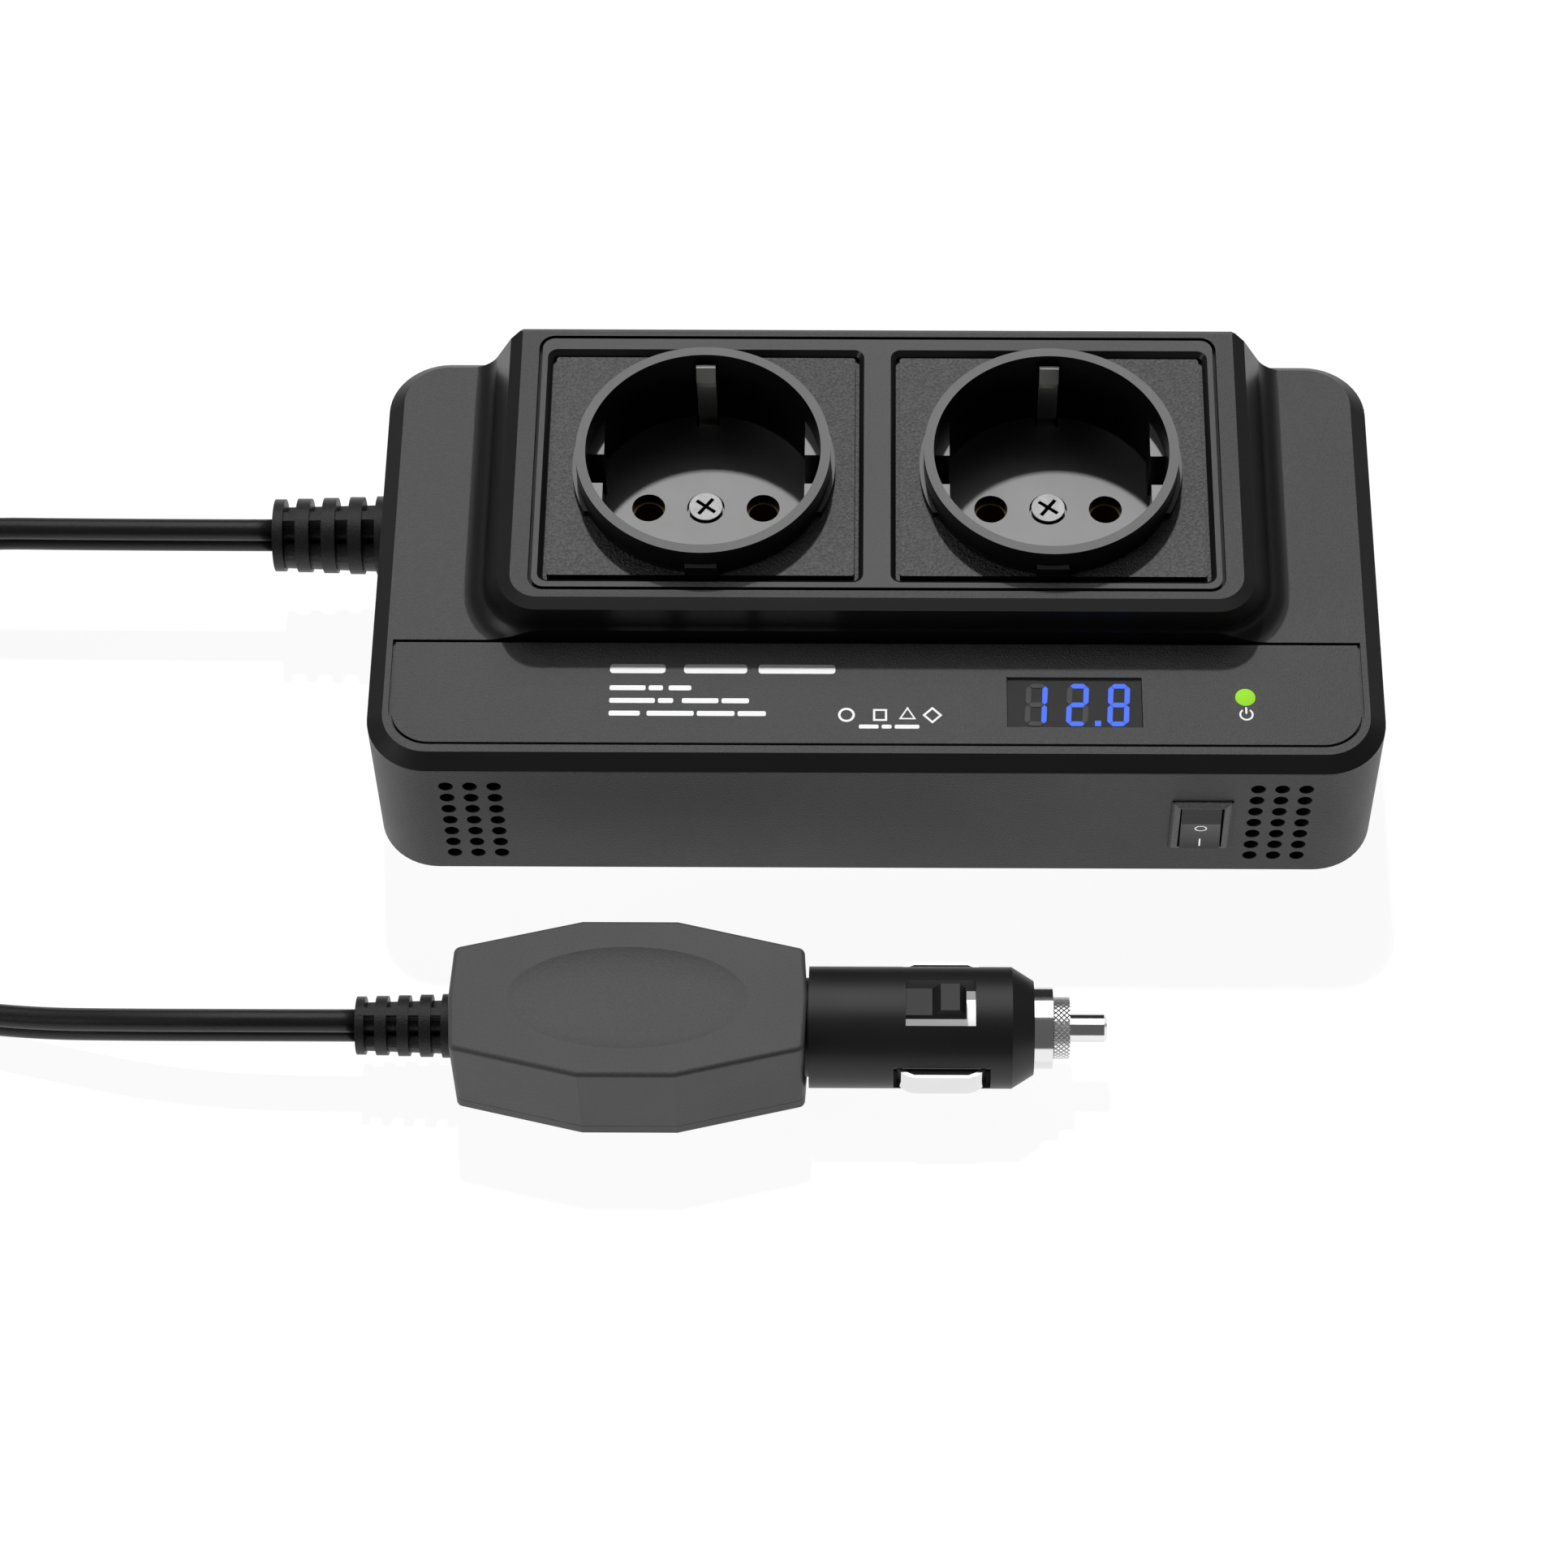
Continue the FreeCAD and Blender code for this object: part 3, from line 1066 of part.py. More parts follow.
def make_barrel(grip_x, y, z):
    start = grip_x + d.grip_end + 0.15
    inside = grip_x + d.grip_end - 4.2
    body = rod("barrel_body", d.barrel_radius, d.barrel_end - start, (start, y, z), "x")
    nose = rod("barrel_nose", d.barrel_radius, d.nose_end - d.barrel_end, (d.barrel_end, y, z), "x",
               stop=d.nose_radius)
    neck = rod("barrel_neck", d.barrel_neck, 5, (inside, y, z), "x")
    flange = rod("barrel_flange", d.neck_flange, 1.2, (inside, y, z), "x")
    bore = rod("barrel_bore", d.barrel_bore, d.barrel_end - inside + 1, (inside - 1, y, z), "x")
    throat = rod("nose_bore", 4.2, 12, (d.barrel_end - 1, y, z), "x")
    middle = y - d.catch_shift
    slot = span("catch_opening", (4.8, middle - d.catch_slot / 2, z + 4),
                (15.9, middle + d.catch_slot / 2, z + 12))
    tools = [bore, throat, slot]
    for name, sign in (("front", -1), ("back", 1)):
        tools.append(box(f"contact_opening_{name}", (15.4, 6, 6.4), (10.6, y + 9 * sign), z - 3.2))
    keep("plug_barrel", cut("plug_barrel", fuse("barrel_solid", body, nose, neck, flange), *tools))
    liner = tube("liner_tube", d.liner_radius, 5.7, d.barrel_end - 2.5 - inside, (inside + 1.2, y, z), "x")
    keep("plug_liner", liner)
    tongue = span("tongue_bar", (4.8, middle - d.catch_width / 2, z + 7.9),
                  (14.4, middle + d.catch_width / 2, z + 9.2))
    knob = padded("tongue_knob", ((8.9, 0), (14.4, 0), (13.3, 1.7), (10.3, 1.7)), d.catch_width,
                  (0, middle, z + 9.1), "XZ_Plane", middle=True)
    keep("catch_tongue", fuse("catch_tongue", tongue, knob))
    for name, sign in (("front", -1), ("back", 1)):
        keep(f"contact_{name}", spring_contact(name, sign, y, z))
    keep("nose_collar", cut("nose_collar",
                            rod("collar_ring", d.collar_radius, d.collar_end - d.nose_end,
                                (d.nose_end, y, z), "x"),
                            rod("collar_bore", 3.6, 8, (d.nose_end - 2, y, z), "x")))
    cap_body = rod("cap_body", d.cap_radius, d.cap_end - d.collar_end - 0.2, (d.collar_end + 0.2, y, z), "x")
    cap_stem = rod("cap_stem", 3.4, 4, (d.collar_end - 3.6, y, z), "x")
    cap_bore = rod("cap_bore", d.tip_radius + 0.08, 12, (d.collar_end - 6, y, z), "x")
    cap_room = rod("cap_room", 2.9, 4.1, (d.collar_end - 4, y, z), "x")
    keep("fuse_cap", cut("fuse_cap", fuse("cap_solid", cap_body, cap_stem), cap_bore, cap_room))
    tip = rod("pin_point", d.tip_radius, 0.4, (d.tip_end - 0.4, y, z), "x", stop=d.tip_radius - 0.4)
    shoulder = rod("pin_shoulder", 2.7, 1.2, (d.collar_end - 1.3, y, z), "x")
    shaft = rod("pin_neck", d.tip_radius, d.tip_end - d.collar_end - 0.2, (d.collar_end - 0.2, y, z), "x")
    keep("tip_pin", fuse("tip_pin", shoulder, shaft, tip))
    keep("tip_spring", tube("tip_spring", 2.7, 2.0, 8.6, (d.collar_end - 10.1, y, z), "x"))
    glass = tube("fuse_glass", 2.6, 2.0, 16, (-1.0, y, z), "x")
    ends = [rod("fuse_end_a", 2.75, 3.4, (-4.5, y, z), "x"), rod("fuse_end_b", 2.75, 3.0, (15.0, y, z), "x")]
    keep("glass_fuse", group("glass_fuse", glass, *ends))


CONTACT_PROFILE = (
    (3.4, 8.6), (4.1, 9.5), (5.0, 10.15), (6.2, 10.5), (14.8, 10.5), (16.0, 10.15), (16.9, 9.5),
    (17.6, 8.6),
)


def spring_contact(name, sign, y, z):
    """A bent strip that stands a little proud of the barrel's side."""
    outer = CONTACT_PROFILE
    inner = [(x + (0.4 if x < 10 else -0.4) * (reach < 10.4), reach - 0.45) for x, reach in outer]
    points = [(x, reach * sign) for x, reach in (*outer, *reversed(inner))]
    return padded(f"contact_{name}", points, 5.2, (0, y, z), middle=True)


make_lower_case()
make_top_cover()
make_label_panel()
make_display()
make_power_led()
make_bezel()
centre_screws = []
for side_name, side_sign in SIDES:
    make_socket(side_name, side_sign)
    centre_screws.append(make_socket_works(side_name, side_sign))
keep("socket_screws", group("socket_screws", *centre_screws))
make_switch()
make_electronics()
make_fan()
make_fasteners()
make_case_boot()
make_cord()
make_plug()
doc.recompute()

faulty = [obj.Name for obj in doc.Objects if {"Invalid", "Error"} & set(obj.State)]
for obj in nodes:
    if obj.Shape.isNull() or not obj.Shape.isValid() or not obj.Shape.Solids:
        faulty.append(obj.Label)
if faulty:
    raise RuntimeError(f"failed objects: {faulty}")

os.makedirs("parts", exist_ok=True)
for obj in nodes:
    obj.Shape.exportStep(f"parts/{obj.Label}.step")
print(len(nodes), "nodes")
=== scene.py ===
import math

import bmesh
import bpy
from mathutils import Matrix, Vector


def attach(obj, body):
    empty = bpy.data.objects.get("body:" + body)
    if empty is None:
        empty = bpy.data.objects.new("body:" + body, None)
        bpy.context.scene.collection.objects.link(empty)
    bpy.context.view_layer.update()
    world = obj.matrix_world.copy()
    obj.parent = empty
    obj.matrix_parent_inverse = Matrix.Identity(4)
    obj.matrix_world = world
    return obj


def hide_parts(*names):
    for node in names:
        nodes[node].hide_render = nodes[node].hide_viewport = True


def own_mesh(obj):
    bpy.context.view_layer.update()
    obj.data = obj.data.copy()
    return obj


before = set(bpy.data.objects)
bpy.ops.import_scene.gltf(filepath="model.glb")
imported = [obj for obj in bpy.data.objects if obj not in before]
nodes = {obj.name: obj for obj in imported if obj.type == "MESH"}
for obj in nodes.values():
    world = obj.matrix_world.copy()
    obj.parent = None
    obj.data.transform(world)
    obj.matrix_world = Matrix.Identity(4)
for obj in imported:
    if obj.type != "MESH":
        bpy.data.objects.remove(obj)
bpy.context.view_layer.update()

MM = 0.001


def mm(*values):
    return Vector(values) * MM


# ---- camera -------------------------------------------------------------------------------------

VIEW_TILT = 57.653                      # degrees above the horizon
VIEW_ROLL = 0.209                       # degrees about the line of sight
VIEW_TARGET = mm(-0.652, -40.247, 26.5)
VIEW_DISTANCE = 726.53 * MM
SENSOR, LENS = 36, 103.874              # in the camera's own millimetres
SHIFT = (-0.05615, 0.0)
CLIP_NEAR, CLIP_FAR = 0.01, 20          # in metres


def make_camera():
    camera_data = bpy.data.cameras.new("camera")
    camera_data.sensor_width = SENSOR
    camera_data.lens = LENS
    camera_data.shift_x, camera_data.shift_y = SHIFT
    camera_data.clip_start, camera_data.clip_end = CLIP_NEAR, CLIP_FAR
    camera = bpy.data.objects.new("camera", camera_data)
    bpy.context.scene.collection.objects.link(camera)
    tilt = math.radians(VIEW_TILT)
    forward = Vector((0, math.cos(tilt), -math.sin(tilt)))
    up = Vector((0, math.sin(tilt), math.cos(tilt)))
    right = forward.cross(up)
    turn = Matrix((right, up, -forward)).transposed()
    roll = Matrix.Rotation(math.radians(VIEW_ROLL), 3, "Z")
    stand = Matrix.Translation(VIEW_TARGET - forward * VIEW_DISTANCE)
    camera.matrix_world = stand @ (turn @ roll).to_4x4()
    bpy.context.scene.camera = camera


make_camera()


# ---- cord ---------------------------------------------------------------------------------------

# The lead leaves the case to the left, comes down onto a neat coil and returns to the plug.
CASE_RUN = (
    (-101.5, 15.4, 16.5), (-130, 15.4, 16.5), (-158, 15.7, 16.5), (-176, 13, 10.7),
    (-192, 13, 10.7),
)
PLUG_RUN = (
    (-192, -67, 3.9), (-173, -67, 3.9), (-154, -69.9, 3.7), (-136, -72.8, 5), (-118, -74.7, 8.1),
    (-101, -75.6, 9.75), (-82.6, -75.6, 9.75),
)
COIL_MIDDLE = (-192, -27)
COIL_RADIUS = 40
COIL_STEPS = 24                         # points for each turn
UPPER_LEVEL, FLOOR_LEVEL = 10.75, 3.9
DESCENT_START, DESCENT = 0.54, 0.16     # in turns
CURVE_STEPS = 12                        # between two of the curve's points
LOBE, LOBE_PITCH = 3.75, 2.95           # the twin flex's two conductors, one above the other
NOTCH = 0.86                            # share of the angle at which their outlines would cross
SECTION_STEPS = 14
PLUG_AXIS = (-75.6, 9.75)               # across and up
SPRING_START, SPRING_END = 18.1, 26.7   # along X, behind the tip
SPRING_RADIUS, SPRING_WIRE = 2.35, 0.3
SPRING_TURNS = 7
SPRING_STEPS, WIRE_SIDES = 24, 8        # rings for each turn, and points for each ring


def smooth_step(value):
    value = min(max(value, 0.0), 1.0)
    return value * value * (3 - 2 * value)


def coil_points():
    """One and a half turns, from the top of the ring round by the left, coming down once."""
    # a spline passes inside its points by this much of the radius
    bulge = 2 / (1 + math.cos(2 * math.pi / COIL_STEPS))
    x, y = COIL_MIDDLE
    for step in range(1, COIL_STEPS * 3 // 2):
        turned = step / COIL_STEPS
        angle = math.pi / 2 + 2 * math.pi * turned
        down = smooth_step((turned - DESCENT_START) / DESCENT)
        height = UPPER_LEVEL + (FLOOR_LEVEL - UPPER_LEVEL) * down
        reach = COIL_RADIUS * bulge
        yield x + reach * math.cos(angle), y + reach * math.sin(angle), height


def spline_curve(name, points):
    """A smooth line with the points, in millimetres, as its control points."""
    curve = bpy.data.curves.new(name, "CURVE")
    curve.dimensions = "3D"
    curve.resolution_u = CURVE_STEPS
    spline = curve.splines.new("NURBS")
    spline.points.add(len(points) - 1)
    for point, place in zip(spline.points, points):
        point.co = (*mm(*place), 1)
    spline.order_u = 3
    spline.use_endpoint_u = True
    return curve


def line_of(curve):
    """The points of a curve's own line, in order."""
    holder = bpy.data.objects.new(curve.name + "_line", curve)
    bpy.context.scene.collection.objects.link(holder)
    evaluated = holder.evaluated_get(bpy.context.evaluated_depsgraph_get())
    mesh = bpy.data.meshes.new_from_object(evaluated)
    line = [vertex.co.copy() for vertex in mesh.vertices]
    bpy.data.objects.remove(holder)
    bpy.data.meshes.remove(mesh)
    return line


def twin_section():
    """The figure-eight outline of the twin flex: across, then up, in metres."""
    radius, reach = LOBE / 2 * MM, LOBE_PITCH / 2 * MM
    open_angle = math.acos(reach / radius) * NOTCH
    outline = []
    for sign in (1, -1):
        for step in range(SECTION_STEPS + 1):
            share = step / SECTION_STEPS
            angle = -math.pi / 2 + open_angle + (math.pi * 2 - 2 * open_angle) * share
            across, rise = radius * math.cos(angle), reach + radius * math.sin(angle)
            outline.append((across * sign, rise * sign))
    return outline


def joined_rings(name, verts, count):
    """A closed skin over rings of points, each ring with the same count."""
    faces = []
    for start in range(0, len(verts) - count, count):
        for step in range(count):
            turn = (step + 1) % count
            after = start + count
            faces.append((start + step, start + turn, after + turn, after + step))
    faces.append(tuple(range(count)))
    faces.append(tuple(reversed(range(len(verts) - count, len(verts)))))
    mesh = bpy.data.meshes.new(name)
    mesh.from_pydata(verts, [], faces)
    mesh.validate()
    work = bmesh.new()
    work.from_mesh(mesh)
    bmesh.ops.recalc_face_normals(work, faces=work.faces)
    work.to_mesh(mesh)
    work.free()
    mesh.shade_smooth()
    piece = bpy.data.objects.new(name, mesh)
    bpy.context.scene.collection.objects.link(piece)
    return piece


def swept_tube(name, line, outline):
    """A closed skin that follows a line, the outline kept upright."""
    verts = []
    for index, place in enumerate(line):
        before = line[max(index - 1, 0)]
        after = line[min(index + 1, len(line) - 1)]
        along = (after - before).normalized()
        side = along.cross(Vector((0, 0, 1))).normalized()
        up = side.cross(along)
        verts += [place + side * across + up * rise for across, rise in outline]
    return joined_rings(name, verts, len(outline))


def make_spring():
    """The coil behind the tip. It is made at one length and rides with the fuse holder's cap, so
    it does not shorten as the tip goes in.
    """
    steps = SPRING_TURNS * SPRING_STEPS
    length = SPRING_END - SPRING_START - 2 * SPRING_WIRE
    verts = []
    for step in range(steps + 1):
        angle = 2 * math.pi * step / SPRING_STEPS
        x = SPRING_START + SPRING_WIRE + length * (step / steps)
        outward = Vector((0, math.cos(angle), math.sin(angle)))
        middle = mm(x, *PLUG_AXIS) + outward * SPRING_RADIUS * MM
        for side in range(WIRE_SIDES):
            round_wire = 2 * math.pi * side / WIRE_SIDES
            across = outward * math.cos(round_wire) + Vector((math.sin(round_wire), 0, 0))
            verts.append(middle + across * SPRING_WIRE * MM)
    spring = joined_rings("coil_spring", verts, WIRE_SIDES)
    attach(spring, "fuse_holder_cap")
    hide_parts("tip_spring")
    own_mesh(spring)
    return spring


spring = make_spring()


def make_cord():
    line = line_of(spline_curve("lead_route", [*CASE_RUN, *coil_points(), *PLUG_RUN]))
    lead = swept_tube("lead", line, twin_section())
    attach(lead, "inverter")
    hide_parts("cord_to_case", "cord_coil", "cord_to_plug")
    return lead


lead = make_cord()


# ---- materials ----------------------------------------------------------------------------------

SMUDGE = 0.03                           # roughness, either way
GRAIN = 0.3

# greys, as shares of white
# the slope and wall greys are painted shade, set by how far a face turns up
TOP_GREY, SLOPE_SHADE_GREY, WALL_SHADE_GREY = 0.064, 0.007, 0.002
# the inside grey is painted shade for the case's inside and vent holes
CASE_GREY, INSIDE_SHADE_GREY = 0.044, 0.001
BEZEL_GREY = 0.058
# the cup wall grey is painted shade on the socket's steep faces
PLATE_GREY, RIM_GREY, CUP_GREY, CUP_WALL_SHADE_GREY = 0.088, 0.145, 0.27, 0.002
# the line grey is a painted shadow line in the switch frame
FRAME_GREY, SHADOW_LINE_GREY = 0.085, 0.002
# the key's greys are painted light and shade: shade above the ridge, light below it, a highlight
# next to it
KEY_SHADE_GREY, KEY_LIT_GREY, KEY_HIGHLIGHT_GREY = 0.006, 0.05, 0.16
# the slot grey is painted shade in the screw's slots
SLOT_SHADE_GREY = 0.004

# places in the CAD frame, in millimetres
WING_LEVEL, BLOCK_LEVEL = 32.5, 41.4    # the cover's two level tops
CASE_HALF, CASE_CORNER = (82.0, 40.8), 10.0
CASE_FLOOR = 1.7                        # underside, above which the inside begins
SOCKET_ACROSS, SOCKET_BACK = 28.4, 11.5  # the middle of a socket, to either side and back
CUP_RADIUS, PLATE_LEVEL = 19.45, 41.8
SCREW_TOP = 30.7
FRAME_MIDDLE = (52.8, 15.6)             # the switch's frame, across and up
FRAME_HALF = (4.95, 7.0)
SIDE_SHADOW, BOTTOM_SHADOW = 0.36, 0.46     # the painted shadow line's width within the frame
SHADOW_BLEND = 0.06
RIDGE = 15.75                           # height of the rocker's ridge
KNURL_PITCH, KNURL_DIAMETER = 0.62, 9.9
DIAGONAL = 1.4                          # a slanting groove's pitch along X, over its own

NOISE_RANGE = (0.3, 0.7)                # where nearly all of a noise's values lie
LEVEL_RANGE = (0.975, 0.998)            # upness at which a surface comes to count as level
SLOPE_RANGE = (0.44, 0.62)              # and as a slope rather than a wall


def grey(value):
    return (value, value, value)


class Finish:
    """One material and the nodes that it is built from. Sizes are in millimetres."""

    def __init__(self, name, metallic=0.0, specular=0.5, alpha=1.0):
        self.made = bpy.data.materials.new(name)
        self.made.use_nodes = True
        self.tree = self.made.node_tree
        self.shader = self.tree.nodes["Principled BSDF"]
        self.shader.inputs["Metallic"].default_value = metallic
        self.shader.inputs["Specular IOR Level"].default_value = specular
        self.shader.inputs["Alpha"].default_value = alpha
        self.place = self.tree.nodes.new("ShaderNodeTexCoord").outputs["Object"]

    def fill(self, socket, value):
        """Put a number, a colour or another node's output on a socket."""
        if isinstance(value, bpy.types.NodeSocket):
            self.tree.links.new(value, socket)
        elif isinstance(value, tuple) and len(socket.default_value) == 4:
            socket.default_value = (*value, 1)
        else:
            socket.default_value = value

    def set(self, name, value):
        self.fill(self.shader.inputs[name], value)

    def math(self, operation, first, second=0.0):
        step = self.tree.nodes.new("ShaderNodeMath")
        step.operation = operation
        self.fill(step.inputs[0], first)
        self.fill(step.inputs[1], second)
        return step.outputs[0]

    def ramp(self, value, start, end, low=0.0, high=1.0):
        """Low at start and high at end, and held beyond them."""
        spread = self.tree.nodes.new("ShaderNodeMapRange")
        for name, number in (("Value", value), ("From Min", start), ("From Max", end),
                             ("To Min", low), ("To Max", high)):
            self.fill(spread.inputs[name], number)
        return spread.outputs["Result"]

    def mix(self, factor, first, second):
        blend = self.tree.nodes.new("ShaderNodeMix")
        blend.data_type = "RGBA"
        self.fill(blend.inputs["Factor"], factor)
        self.fill(blend.inputs["A"], first)
        self.fill(blend.inputs["B"], second)
        return blend.outputs["Result"]

    def noise(self, size, detail=3.0):
        texture = self.tree.nodes.new("ShaderNodeTexNoise")
        texture.inputs["Scale"].default_value = 1 / (size * MM)
        texture.inputs["Detail"].default_value = detail
        self.fill(texture.inputs["Vector"], self.place)
        return texture.outputs["Fac"]

    def slow(self, size=18, low=0.0, high=1.0):
        """Soft clouds of a size, from low to high."""
        return self.ramp(self.noise(size), *NOISE_RANGE, low, high)

    def fine(self, size):
        """A grain of a size, from 0 to 1."""
        return self.ramp(self.noise(size, 2), *NOISE_RANGE)

    def mottled(self, value, colour, spread):
        """A colour that a grain or a cloud makes darker and lighter by a share."""
        return self.mix(value, *shades(colour, spread))

    def length(self, first, second):
        squares = [self.math("MULTIPLY", side, side) for side in (first, second)]
        return self.math("SQRT", self.math("ADD", *squares))

    def parts_of(self, vector):
        split = self.tree.nodes.new("ShaderNodeSeparateXYZ")
        self.fill(split.inputs[0], vector)
        return split.outputs

    def upness(self):
        """How far the surface faces up: 1 on a level top, 0 on an upright wall."""
        normal = self.tree.nodes.new("ShaderNodeNewGeometry").outputs["Normal"]
        return self.parts_of(normal)[2]

    def bump(self, height, distance):
        raised = self.tree.nodes.new("ShaderNodeBump")
        raised.inputs["Strength"].default_value = 1.0
        raised.inputs["Distance"].default_value = distance * MM
        self.fill(raised.inputs["Height"], height)
        self.set("Normal", raised.outputs["Normal"])

    def glow(self, colour, strength):
        self.set("Emission Color", colour)
        self.set("Emission Strength", strength)


def shades(colour, spread):
    darker = tuple(channel * (1 - spread) for channel in colour)
    lighter = tuple(min(channel * (1 + spread), 1.0) for channel in colour)
    return darker, lighter


def plain(name, colour, roughness, grain=0.0, rise=0.25, mottle=0.1, glow=None, **settings):
    """A moulded or plated surface, uneven in gloss, with a grain of a size if it has one.

    The grain rises by a share of its size, and mottle is the share by which the colour varies.
    """
    finish = Finish(name, **settings)
    slow = finish.slow()
    if grain:
        fine = finish.fine(grain)
        finish.bump(fine, grain * rise)
    finish.set("Base Color", finish.mottled(fine if grain else slow, colour, mottle))
    finish.set("Roughness", finish.ramp(slow, 0, 1, roughness - SMUDGE, roughness + SMUDGE))
    if glow:
        finish.glow(*glow)
    return finish.made


def cover(name):
    """Grained on the level tops, satin on the slopes and polished black on the steep walls. Slopes
    and walls are painted darker by how far they face up: painted shade, on top of the walls' own
    black.
    """
    finish = Finish(name, specular=0.3)
    up = finish.upness()
    height = finish.parts_of(finish.place)[2]
    above_wing = finish.ramp(height, (WING_LEVEL + 0.01) * MM, (WING_LEVEL + 0.03) * MM)
    below_top = finish.ramp(height, (BLOCK_LEVEL - 0.03) * MM, (BLOCK_LEVEL - 0.05) * MM)
    between = finish.math("MULTIPLY", above_wing, below_top)
    flat = finish.ramp(up, *LEVEL_RANGE)
    level = finish.math("MULTIPLY", flat, finish.math("SUBTRACT", 1.0, between))
    sloping = finish.ramp(up, *SLOPE_RANGE)
    fine = finish.fine(GRAIN)
    top = finish.mottled(fine, grey(TOP_GREY), 0.1)
    # slopes and walls, and level faces between the wing and the block top, are painted darker as
    # shade by how far they face up
    below = finish.mix(sloping, grey(WALL_SHADE_GREY), grey(SLOPE_SHADE_GREY))
    finish.set("Base Color", finish.mix(level, below, top))
    satin = finish.ramp(sloping, 0, 1, 0.30, 0.42)
    matter = finish.math("ADD", finish.math("MULTIPLY", level, 0.1), satin)
    finish.set("Roughness", finish.math("ADD", finish.slow(18, -0.02, 0.02), matter))
    finish.bump(finish.math("MULTIPLY", fine, level), GRAIN * 0.2)
    return finish.made


def bezel(name):
    """Grained frame; its sloping edges are painted dark as shade."""
    finish = Finish(name)
    level = finish.ramp(finish.upness(), *LEVEL_RANGE)
    fine = finish.fine(GRAIN)
    grained = finish.mottled(fine, grey(BEZEL_GREY), 0.1)
    # sloping edges are painted dark as shade
    finish.set("Base Color", finish.mix(level, grey(SLOPE_SHADE_GREY), grained))
    finish.set("Roughness", finish.ramp(level, 0, 1, 0.3, 0.5))
    finish.bump(finish.math("MULTIPLY", fine, level), GRAIN * 0.1)
    return finish.made


def case(name):
    """Grained outside; the inside and the vent holes are painted black as shade."""
    finish = Finish(name, specular=0.3)
    x, y, z = finish.parts_of(finish.place)
    beyond = []
    for place, half in zip((x, y), CASE_HALF):
        past = finish.math("SUBTRACT", finish.math("ABSOLUTE", place), (half - CASE_CORNER) * MM)
        beyond.append(finish.math("MAXIMUM", past, 0.0))
    reach = finish.length(*beyond)
    within = finish.ramp(reach, (CASE_CORNER - 0.12) * MM, (CASE_CORNER - 0.25) * MM)
    above = finish.ramp(z, CASE_FLOOR * MM, (CASE_FLOOR + 0.2) * MM)
    inside = finish.math("MULTIPLY", within, above)
    fine = finish.fine(GRAIN)
    grained = finish.mottled(fine, grey(CASE_GREY), 0.1)
    # the inside and the vent holes are painted near black as shade
    finish.set("Base Color", finish.mix(inside, grained, grey(INSIDE_SHADE_GREY)))
    finish.set("Roughness", finish.slow(18, 0.45, 0.51))
    finish.bump(fine, GRAIN * 0.2)
    return finish.made


def slotted(name, colour):
    """Plated screw head, with painted shade making it black down in its slots."""
    finish = Finish(name, metallic=1.0)
    height = finish.parts_of(finish.place)[2]
    head = finish.ramp(height, (SCREW_TOP - 0.3) * MM, (SCREW_TOP - 0.12) * MM)
    plated = finish.mottled(finish.fine(0.2), grey(colour), 0.12)
    # below the head's top, in the slots, the plating is painted black as shade
    finish.set("Base Color", finish.mix(head, grey(SLOT_SHADE_GREY), plated))
    finish.set("Roughness", finish.slow(2, 0.48, 0.56))
    return finish.made


def socket(name, across):
    """Textured plate, satin rim and lighter cup floor; the cup walls and other steep faces are
    painted near black as shade.
    """
    finish = Finish(name, specular=0.15)
    x, y, z = finish.parts_of(finish.place)
    reach = finish.length(finish.math("SUBTRACT", x, across * MM),
                          finish.math("SUBTRACT", y, SOCKET_BACK * MM))
    in_cup = finish.ramp(reach, CUP_RADIUS * MM, (CUP_RADIUS - 0.1) * MM)
    raised = finish.ramp(z, PLATE_LEVEL * MM, (PLATE_LEVEL + 0.2) * MM)
    smooth = finish.math("MAXIMUM", in_cup, raised)
    level = finish.ramp(finish.upness(), 0.7, 0.9)
    fine = finish.fine(0.45)
    slow = finish.slow(12)
    plate = finish.mottled(fine, grey(PLATE_GREY), 0.25)
    rim = finish.mottled(slow, grey(RIM_GREY), 0.04)
    floor = finish.mottled(slow, grey(CUP_GREY), 0.06)
    upper = finish.mix(smooth, plate, finish.mix(raised, floor, rim))
    # faces that don't face up, the cup walls among them, are painted near black as shade
    finish.set("Base Color", finish.mix(level, grey(CUP_WALL_SHADE_GREY), upper))
    bottom = finish.math("MULTIPLY", in_cup, finish.math("SUBTRACT", 1.0, raised))
    satin = finish.mix(smooth, grey(0.5), grey(0.38))
    finish.set("Roughness", finish.mix(bottom, satin, grey(0.3)))
    finish.bump(finish.math("MULTIPLY", fine, finish.math("SUBTRACT", 1.0, smooth)), 0.12)
    return finish.made


def switch_frame(name):
    """Textured grey frame with a painted black shadow line along its sides and bottom."""
    finish = Finish(name, specular=0.4)
    x, _, z = finish.parts_of(finish.place)
    aside = finish.math("ABSOLUTE", finish.math("SUBTRACT", x, FRAME_MIDDLE[0] * MM))
    below = finish.math("SUBTRACT", FRAME_MIDDLE[1] * MM, z)
    edges = []
    for away, half, width in zip((aside, below), FRAME_HALF, (SIDE_SHADOW, BOTTOM_SHADOW)):
        inner = half - width
        edges.append(finish.ramp(away, (inner - SHADOW_BLEND) * MM, inner * MM))
    # a painted black shadow line along the sides and the bottom of the frame, none at the top
    line = finish.math("MAXIMUM", *edges)
    fine = finish.fine(0.3)
    textured = finish.mottled(fine, grey(FRAME_GREY), 0.2)
    finish.set("Base Color", finish.mix(line, textured, grey(SHADOW_LINE_GREY)))
    finish.set("Roughness", 0.42)
    finish.bump(fine, 0.05)
    return finish.made


